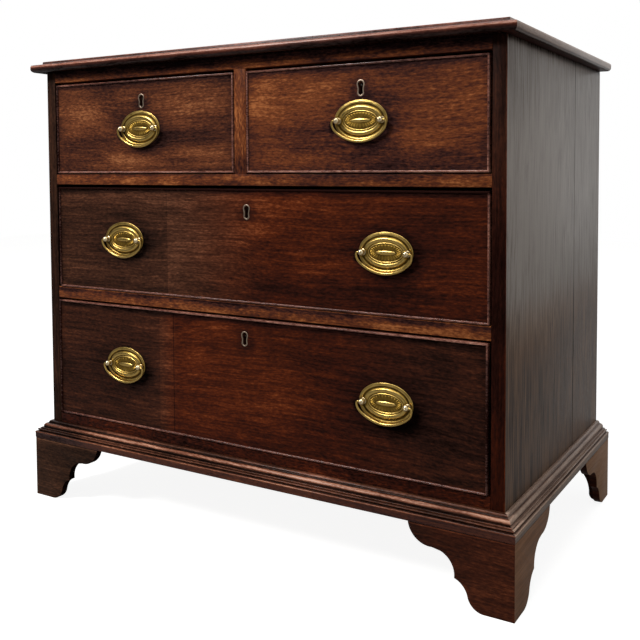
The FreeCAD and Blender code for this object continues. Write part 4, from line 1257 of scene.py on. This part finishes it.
@dataclass
class Studio:
    """Plain pale floor, soft lamps, a white surround and the camera; sizes here are metres.

    The gleam is the middle of the polished sides, from where the floor shows in them.
    """

    eye: Point = (0.8214, -1.2600, 0.5889)
    turn: float = 28.95
    tilt: float = -2.68
    roll: float = -0.09
    lens: float = 46.68
    sensor: float = 36.0
    shift: tuple[float, float] = (-0.09375, -0.1684)
    surround: float = 0.24
    room: Point = (-0.45, -0.85, -0.25)
    floor_glow: float = 0.9
    floor_sheen: float = 0.3
    floor_half: float = 6.0
    gleam: Point = (0.25, -0.1, 0.4)
    lamps: tuple[Lamp, ...] = (
        Lamp("key_lamp", (-1.5, -2.3, 2.7), (0.0, 0.0, 0.4), 0.7, 95.0),
        Lamp("top_lamp", (0.3, -0.5, 2.7), (0.0, 0.0, 0.4), 1.2, 34.0),
    )

    def set_camera(self) -> None:
        """Place the camera."""
        data = bpy.data.cameras.new("camera")
        data.sensor_width = self.sensor
        data.lens = self.lens
        data.shift_x, data.shift_y = self.shift
        camera = bpy.data.objects.new("camera", data)
        camera.matrix_world = (
            Matrix.Translation(self.eye)
            @ Matrix.Rotation(math.radians(self.turn), 4, "Z")
            @ Matrix.Rotation(math.radians(90 + self.tilt), 4, "X")
            @ Matrix.Rotation(math.radians(self.roll), 4, "Z")
        )
        bpy.context.scene.collection.objects.link(camera)
        bpy.context.scene.camera = camera

    def dimmed(self, bench: Bench, direction: Socket) -> Socket:
        """Brightness of a direction in reflections: white, but dim in front of the chest.

        Args:
            bench: Where the nodes are laid out.
            direction: The direction.

        Returns:
            The brightness's socket.
        """
        inputs = {0: direction, 1: Vector(self.room).normalized()}
        towards = bench.node("VectorMath", inputs, operation="DOT_PRODUCT").outputs["Value"]
        return bench.span(towards, -0.1, 0.7, 1.0, 0.1)

    def set_world(self) -> None:
        """A surround that is white to the eye and in reflections, and softer as a light."""
        bench = Bench(bpy.data.worlds.new("surround"))
        path = bench.node("LightPath", {}).outputs
        seen = bench.math("MAXIMUM", path["Is Camera Ray"], path["Is Transmission Ray"])
        dim = self.dimmed(bench, bench.node("TexCoord", {}).outputs["Generated"])
        strength = bench.blend(seen, bench.blend(path["Is Glossy Ray"], self.surround, dim), 1.0)
        background = bench.node("Background", {"Color": (1, 1, 1, 1), "Strength": strength})
        bench.node("OutputWorld", {"Surface": background.outputs[0]})
        bpy.context.scene.world = bench.owner

    def lay_floor(self) -> None:
        """A pale floor that keeps the chest's shadow."""
        shape = bmesh.new()
        bmesh.ops.create_grid(shape, x_segments=4, y_segments=4, size=self.floor_half)
        mesh = bpy.data.meshes.new("floor")
        shape.to_mesh(mesh)
        shape.free()
        bench = Bench(bpy.data.materials.new("floor_white"))
        mottle = bench.noise(bench.place, scale=3.0, detail=3.0)
        colour = bench.ramp(mottle, [(0.3, shade(154, 153, 151)), (0.7, shade(158, 157, 155))])
        path = bench.node("LightPath", {}).outputs
        away = bench.vector("NORMALIZE", bench.vector("SUBTRACT", bench.place, self.gleam))
        direct = bench.math("MAXIMUM", path["Is Camera Ray"], path["Is Transmission Ray"])
        sheen = bench.math("MULTIPLY", self.dimmed(bench, away), self.floor_sheen)
        seen = bench.math("MAXIMUM", direct, bench.math("MULTIPLY", path["Is Glossy Ray"], sheen))
        diffuse = bench.node("BsdfDiffuse", {"Color": colour})
        strength = bench.math("MULTIPLY", seen, self.floor_glow)
        glow = bench.node("Emission", {"Color": (1, 1, 1, 1), "Strength": strength})
        both = bench.node("AddShader", {0: diffuse.outputs[0], 1: glow.outputs[0]})
        bench.node("OutputMaterial", {"Surface": both.outputs[0]})
        mesh.materials.append(bench.owner)
        floor = bpy.data.objects.new("floor", mesh)
        bpy.context.scene.collection.objects.link(floor)

    def set_up(self) -> None:
        """Camera, surround, floor and lamps."""
        self.set_camera()
        self.set_world()
        self.lay_floor()
        for lamp in self.lamps:
            lamp.hang()
        bpy.context.scene.view_settings.view_transform = "Standard"


# ---------------------------------------------------------------- chest


@dataclass
class Carcase:
    """Case, top, base moulding, feet and everything fixed inside."""

    side: Mahogany
    side_inner: Mahogany
    stile: Mahogany
    muntin: Mahogany
    rail: Mahogany
    bottom_rail: Mahogany
    top: Mahogany
    top_end: Mahogany
    base: Mahogany
    base_side: Mahogany
    foot: Mahogany
    foot_side: Mahogany
    shaded_edge: Mahogany
    pine_across: SecondaryWood
    pine_deep: SecondaryWood
    pine_upright: SecondaryWood
    aged_shaded_pine: SecondaryWood

    def build(self, shop: Shop) -> None:
        """Dress every fixed piece.

        Args:
            shop: Where pieces are made.
        """
        forward, down = (0.0, -1.0, 0.0), (0.0, 0.0, -1.0)
        left, right = (-1.0, 0.0, 0.0), (1.0, 0.0, 0.0)
        # each side: its front edge takes the stile finish, its inner face a darker copy with
        # painted shade, its outer face a greyer copy with painted sheen
        for node, inward in (("side_left", right), ("side_right", left)):
            facing = [(forward, 0.5, self.stile), (inward, 0.5, self.side_inner)]
            shop.eased(node, self.side, ease=1.0, facing=facing)
        for node in ("top_rail", "upper_rail", "lower_rail"):
            shop.eased(node, self.rail, ease=0.7)
        shop.eased("bottom_rail", self.bottom_rail, ease=0.7)
        shop.eased("muntin", self.muntin, ease=0.5)
        # the top's ends take a lighter copy with painted sheen, its underside painted shade
        ends = [(left, 0.5, self.top_end), (right, 0.5, self.top_end)]
        under = (down, 0.95, self.shaded_edge)
        shop.eased("top_board", self.top, ease=0.35, facing=[*ends, under])
        shop.eased("base_moulding_front", self.base, ease=0.35)
        # the moulding's side runs take a lighter copy with painted sheen
        for node in ("base_moulding_left", "base_moulding_right"):
            shop.eased(node, self.base_side, ease=0.35)
        # feet: the outer faces take a lighter copy with painted sheen, cut edges and inner faces
        # painted shade
        for word, outward in (("left", left), ("right", right)):
            for end in ("front", "back"):
                node = f"foot_{end}_{word}"
                facing = [(forward, 0.5, self.foot), (outward, 0.5, self.foot_side)]
                shop.eased(node, self.shaded_edge, ease=0.4, facing=facing)
        for node in ("bottom_board", "dust_boards", "drawer_stops"):
            shop.paint(node, self.pine_across)
        for node in ("drawer_runners", "centre_guide"):
            shop.paint(node, self.pine_deep)
        shop.paint("back_boards", self.pine_upright)
        # foot blocks: aged pine, darkened further as painted shade
        shop.paint("foot_blocks", self.aged_shaded_pine)


def front_patch(
    x: float,
    z: float,
    wide: float,
    high: float,
    tone: float,
    ragged: float = 1.0,
    core: float = 0.15,
) -> Patch:
    """A patch on the front of the chest."""
    return Patch((x, FRONT_Y, z), (wide, FRONT_REACH, high), tone, ragged, core)


def level(z: float, reach: float, tone: float, ragged: float = 0.3, core: float = 0.15) -> Patch:
    """A long lighter or darker line at one height."""
    return Patch((0.0, 0.0, z), (FAR, FAR, reach), tone, ragged, core)


def front_patches(*rows: tuple[float, ...]) -> tuple[Patch, ...]:
    """Patches on the front of the chest, from the arguments of front_patch."""
    return tuple(front_patch(*row) for row in rows)


def levels(*rows: tuple[float, ...]) -> tuple[Patch, ...]:
    """Long lines at several heights, from the arguments of level."""
    return tuple(level(*row) for row in rows)


def handle_grime_and_shadow(handles: Iterable[float], z: float, key: tuple[float, float]) -> tuple[Patch, ...]:
    """Darker polish round the handles and the keyhole of a drawer, with painted shadows of the
    handles.

    Args:
        handles: The middles of its handles.
        z: The posts' axis.
        key: The keyhole's middle.

    Returns:
        The dark places.
    """
    grime_and_shadow = [front_patch(key[0], key[1] - 2.0, 22.0, 26.0, -0.22)]
    for x in handles:
        grime_and_shadow += [
            front_patch(x, z, 78.0, 52.0, -0.20),
            # painted shadow of the handle, to its lower right
            front_patch(x + 15.0, z - 11.0, 50.0, 34.0, -0.40, 0.3),
            # painted shadow under the left post's ball
            front_patch(x - 45.0, z - 9.0, 10.0, 10.0, -0.60, 0.1),
        ]
    return tuple(grime_and_shadow)


def make_drawers() -> list[Drawer]:
    """Size and finish the four drawers.

    Returns:
        The drawers, the upper ones first.
    """
    bead = Mahogany(
        "bead_mahogany", Grain.ACROSS,
        tones=tones((34, 17, 14), (66, 36, 29), (104, 62, 50), (142, 94, 78), (184, 136, 116)),
        tone=0.5, roughness=0.3, polish=0.35,
        # painted shade on the middle drawer's upper bead, on the left beads and low on the right
        # beads; painted highlight on the short drawers' lower beads and the bottom drawer's upper
        # bead
        patches=levels((564.0, 5.0, -0.70), (591.5, 4.0, 0.16), (359.5, 3.0, 0.10)) + (
            Patch((-415.0, 0.0, 450.0), (12.0, FAR, FAR), -0.40, 0.3),
            Patch((415.0, 0.0, 250.0), (8.0, FAR, 130.0), -0.55, 0.3),
        ),
    )

    def front(
        name: str,
        tone: float,
        shift: float,
        drawer: dict,
        patches: tuple[Patch, ...],
        **more: object,
    ) -> Drawer:
        """A drawer whose front has its own finish.

        Args:
            name: The drawer's body.
            tone: General tone of its front.
            shift: Moves the pattern, so that no two fronts are cut from one board.
            drawer: Its places.
            patches: Lighter and darker places of its front.
            more: Other values of the finish.

        Returns:
            The drawer.
        """
        grime_and_shadow = handle_grime_and_shadow(drawer["handles"].values(), drawer["handle_z"], drawer["key"])
        edge = CockbeadFrame.thick
        left, right = drawer["left"] + edge, drawer["right"] - edge
        finish = Mahogany(
            name + "_mahogany",
            Grain.ACROSS,
            tone=tone,
            shift=shift,
            patches=grime_and_shadow + patches,
            frontage=Frontage(left, right, drawer["low"] + edge, drawer["high"] - edge),
            **more,
        )
        return Drawer(name=name, finish=finish, bead=bead, **drawer)

    left_short = dict(
        left=-414.2, right=-12.5, low=590.0, high=747.3,
        handles={"left_short_drawer_bail": -212.25}, handle_z=665.0, key=(-209.25, 711.0),
    )
    right_short = dict(
        left=13.5, right=416.0, low=590.0, high=747.3,
        handles={"right_short_drawer_bail": 218.25}, handle_z=665.0, key=(218.25, 711.0),
    )
    middle = dict(
        left=-412.8, right=417.0, low=385.7, high=565.0,
        handles={"middle_drawer_left_bail": -253.0, "middle_drawer_right_bail": 259.0},
        handle_z=476.0, key=(10.8, 528.5),
    )
    bottom = dict(
        left=-417.0, right=415.4, low=153.7, high=361.1,
        handles={"bottom_drawer_left_bail": -253.0, "bottom_drawer_right_bail": 259.0},
        handle_z=259.0, key=(5.0, 328.0),
    )
    return [
        front("left_short_drawer", 0.53, 1.3, left_short, front_patches(
            (-375, 690, 90, 45, 0.22), (-330, 640, 90, 22, -0.14), (-250, 612, 60, 18, 0.16),
            (-90, 700, 90, 40, 0.12), (-110, 650, 80, 18, -0.16), (-80, 620, 60, 20, 0.14),
        ), veils=(
            Veil(front_patch(-212, 665, 500, 500, 0.3, 0.1, 0.9), OLIVE_MAHOGANY),
        ), tones=WARM_MAHOGANY, clouds=0.3, flecks=0.46, fibres=0.3),
        front("right_short_drawer", 0.51, 3.7, right_short, front_patches(
            (45, 700, 55, 55, 0.24), (140, 712, 90, 26, 0.12), (345, 690, 90, 34, 0.02),
            (330, 606, 130, 24, -0.24), (120, 612, 90, 16, 0.10),
        ), tones=WARM_MAHOGANY, clouds=0.3, flecks=0.46, fibres=0.3),
        front("middle_drawer", 0.45, 6.1, middle, front_patches(
            (-90, 490, 110, 60, 0.08), (-390, 450, 50, 90, 0.06), (360, 470, 120, 120, -0.06),
            (20, 500, 60, 30, 0.22), (-60, 548, 330, 26, 0.16), (190, 405, 280, 30, -0.22),
        ), seams=(Seam(0, -155.0, 0.10, 0.08),), veils=(
            Veil(front_patch(-330, 475, 330, FAR, 0.75, 0.1, 0.5), OLIVE_MAHOGANY),
        ), clouds=0.2, flecks=0.36, fibres=0.32),
        front("bottom_drawer", 0.42, 8.9, bottom, front_patches(
            (330, 250, 170, 140, -0.14), (-10, 262, 210, 120, 0.14), (0, 336, 190, 24, 0.06),
            (-40, 182, 130, 26, 0.08),
        ), seams=(Seam(0, -175.0, 0.09, 0.0), Seam(0, -144.0, -0.04, 0.36, 0.9)), veils=(
            Veil(front_patch(-330, 257, 160, FAR, 0.5, 0.1, 0.9), OLIVE_MAHOGANY),
            Veil(front_patch(400, 257, 200, FAR, 0.4, 0.1), OLIVE_MAHOGANY),
        ), clouds=0.2, flecks=0.34, fibres=0.32),
    ]


def make_carcase() -> Carcase:
    """Finish the carcase.

    Returns:
        The carcase.
    """
    pine = (shade(176, 138, 92), shade(96, 66, 38))
    return Carcase(
        side=Mahogany(
            "side_mahogany", Grain.UPRIGHT, tones=SIDE_SHEEN_MAHOGANY, tone=0.63, clouds=0.12,
            figure=0.08, fibres=0.5, flecks=0.12, roughness=0.42, polish=0.2,
            # darker and browner towards the bottom, lighter round the middle, and painted shadow
            # under the top board's overhang
            patches=(
                level(100.0, 270.0, -0.26, 0.1, 0.85),
                Patch((0.0, -110.0, 540.0), (FAR, 300.0, 230.0), 0.36, 0.2),
                level(771.0, 9.0, -0.50),
            ),
            veils=(Veil(level(100.0, 270.0, 1.0, 0.1, 0.85), TAWNY_MAHOGANY),),
            seams=(Seam(1, 91.5, 0.02, 0.65, 2.0),),
        ),
        side_inner=Mahogany(
            "side_inner_mahogany", Grain.UPRIGHT, tones=OLIVE_MAHOGANY, tone=0.36, clouds=0.12,
            polish=0.02,
            # a darker copy for the inner faces seen in the gaps: painted shade, darkest at the
            # front
            patches=(Patch((0.0, FRONT_Y, 450.0), (FAR, 40.0, FAR), -0.25, 0.3),),
        ),
        stile=Mahogany(
            "stile_mahogany", Grain.UPRIGHT, tone=0.27, clouds=0.2, flecks=0.25, polish=0.02,
            patches=levels((640.0, 140.0, 0.10), (200.0, 110.0, 0.09)) + (
                Patch((-430.0, 0.0, 600.0), (60.0, FAR, 330.0), 0.04),
                Patch((439.8, 0.0, 450.0), (1.8, FAR, FAR), 0.32, 0.3),
            ),
            veils=(
                Veil(Patch((-430.0, 0.0, 450.0), (90.0, FAR, FAR), 0.9, 0.1, 0.9), OLIVE_MAHOGANY),
                Veil(Patch((430.0, 0.0, 680.0), (90.0, FAR, 160.0), 0.5, 0.1), OLIVE_MAHOGANY),
            ),
        ),
        muntin=Mahogany(
            "muntin_mahogany", Grain.UPRIGHT, tones=WARM_MAHOGANY, tone=0.67,
            patches=(front_patch(0, 600, 30, 26, -0.3),),
        ),
        rail=Mahogany(
            "rail_mahogany", Grain.ACROSS, tones=WARM_MAHOGANY, tone=0.61, figure=0.4,
            # painted highlight on the lower rail's upper arris; painted shade on the rails' upper
            # parts under the drawers' beads and on the top rail under the top board's overhang; the
            # lower rail lighter lower down
            patches=levels(
                (384.6, 1.8, 0.60, 0.1), (382.0, 6.0, -0.30), (367.0, 8.0, 0.15),
                (589.0, 7.0, -0.22), (772.0, 14.0, -0.50),
            ) + front_patches((-200, 579, 260, 30, 0.09), (370, 579, 100, 30, -0.06)),
        ),
        bottom_rail=Mahogany("bottom_rail_mahogany", Grain.ACROSS, tone=0.40),
        top=Mahogany(
            "top_mahogany", Grain.ACROSS, tones=TOP_MAHOGANY, tone=0.59, flecks=0.28, polish=0.2,
            roughness=0.34,
            # painted shade on the fillet's face and under the thumb moulding, painted highlight
            # along its nose
            patches=levels(
                (788.0, 2.6, -0.30, 0.1), (781.6, 1.5, 0.28, 0.1), (775.0, 4.6, -0.34, 0.1),
                (771.0, 3.0, -0.25),
            ),
            veils=(Veil(level(774.0, 6.0, 0.9, 0.1, 0.7), RED_MAHOGANY),),
        ),
        top_end=Mahogany(
            "top_end_mahogany", Grain.DEEP, tones=EDGE_SHEEN_MAHOGANY, tone=0.82, clouds=0.12,
            flecks=0.2, roughness=0.36, polish=0.4,
            # painted shade under the fillet and at the bottom of the end, a faint painted highlight
            # along the nose
            patches=levels(
                (786.0, 0.9, -0.45, 0.1), (781.8, 1.2, 0.10, 0.1), (773.0, 1.8, -0.40, 0.1),
            ),
        ),
        base=Mahogany(
            "base_mahogany", Grain.ACROSS, tones=CRISP_MAHOGANY, tone=0.46, flecks=0.22,
            polish=0.14, roughness=0.3,
            # darker at the left end; lines along the profile: lighter crests, part wear and part
            # painted highlight, and painted shade in the hollows
            patches=(Patch((-462.0, -250.0, 120.0), (120.0, 300.0, 300.0), -0.20),) + levels(
                (134.2, 1.3, 0.16), (131.3, 1.0, -0.35), (128.8, 2.8, 0.40, 0.8),
                (124.2, 1.0, -0.30), (122.6, 1.0, 0.24, 0.6), (120.4, 1.0, 0.20, 0.6),
                (118.2, 1.1, -0.30), (116.4, 1.3, 0.26, 0.6), (109.5, 6.5, -0.05),
            ),
            veils=(Veil(level(108.0, 8.0, 0.9, 0.1, 0.8), WARM_MAHOGANY),),
        ),
        base_side=Mahogany(
            "base_side_mahogany", Grain.DEEP, tones=EDGE_SHEEN_MAHOGANY, tone=0.80, clouds=0.12,
            fibres=0.3, flecks=0.2, roughness=0.36, polish=0.12,
            # lines along the profile: lighter crests, part wear and part painted highlight, painted
            # shade in the hollows, and a darker fascia
            patches=levels(
                (131.3, 1.0, -0.30), (128.8, 2.8, 0.10, 0.8), (124.2, 1.0, -0.35),
                (118.2, 1.1, -0.40), (116.4, 1.3, 0.20, 0.6), (114.6, 1.0, -0.30),
                (108.5, 6.0, -0.34),
            ),
            veils=(Veil(level(108.0, 8.0, 0.9, 0.1, 0.8), TAWNY_MAHOGANY),),
        ),
        foot=Mahogany(
            "foot_mahogany", Grain.ACROSS, tones=OLIVE_MAHOGANY, tone=0.39, clouds=0.2,
            flecks=0.3, polish=0.04,
            patches=levels((103.4, 1.1, 0.24, 0.2), (18.0, 30.0, 0.06)) + (
                Patch((462.0, 0.0, 50.0), (170.0, FAR, FAR), 0.08),
                Patch((-462.0, 0.0, 50.0), (170.0, FAR, FAR), 0.04),
            ),
            veils=(Veil(Patch((462.0, 0.0, 50.0), (500.0, FAR, FAR), 0.7), RED_MAHOGANY),),
        ),
        foot_side=Mahogany(
            "foot_side_mahogany", Grain.DEEP, tones=SIENNA_SHEEN_MAHOGANY, tone=0.92, clouds=0.12,
            figure=0.08, fibres=0.2, flecks=0.12, roughness=0.42, polish=0.02,
            patches=(Patch((0.0, -170.0, 50.0), (FAR, 170.0, FAR), -0.28, 0.2, 0.6),),
        ),
        # painted shade: nearly black for the top's underside and the feet's cut edges and inner
        # faces, with a painted lighter place under the top's right end
        shaded_edge=Mahogany(
            "shaded_edge_mahogany", Grain.DEEP, tone=0.06, clouds=0.1, fibres=0.08, polish=0.03,
            patches=(Patch((456.0, 0.0, 768.0), (16.0, FAR, 14.0), 0.25, 0.1, 0.9),),
        ),
        pine_across=SecondaryWood("pine_across", Grain.ACROSS, *pine),
        pine_deep=SecondaryWood("pine_deep", Grain.DEEP, *pine),
        pine_upright=SecondaryWood("pine_upright", Grain.UPRIGHT, *pine),
        # aged pine, darkened further as painted shade
        aged_shaded_pine=SecondaryWood("aged_shaded_pine", Grain.UPRIGHT, shade(66, 46, 32), shade(30, 20, 14)),
    )


def main() -> None:
    """Build the chest piece by piece and set up the studio."""
    logging.basicConfig(level=logging.INFO, format="%(message)s")
    shop = Shop()
    studio = Studio()
    studio.set_up()
    make_carcase().build(shop)
    fittings = Fittings()
    for drawer in make_drawers():
        drawer.build(shop, fittings)
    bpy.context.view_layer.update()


if __name__ == "__main__":
    main()
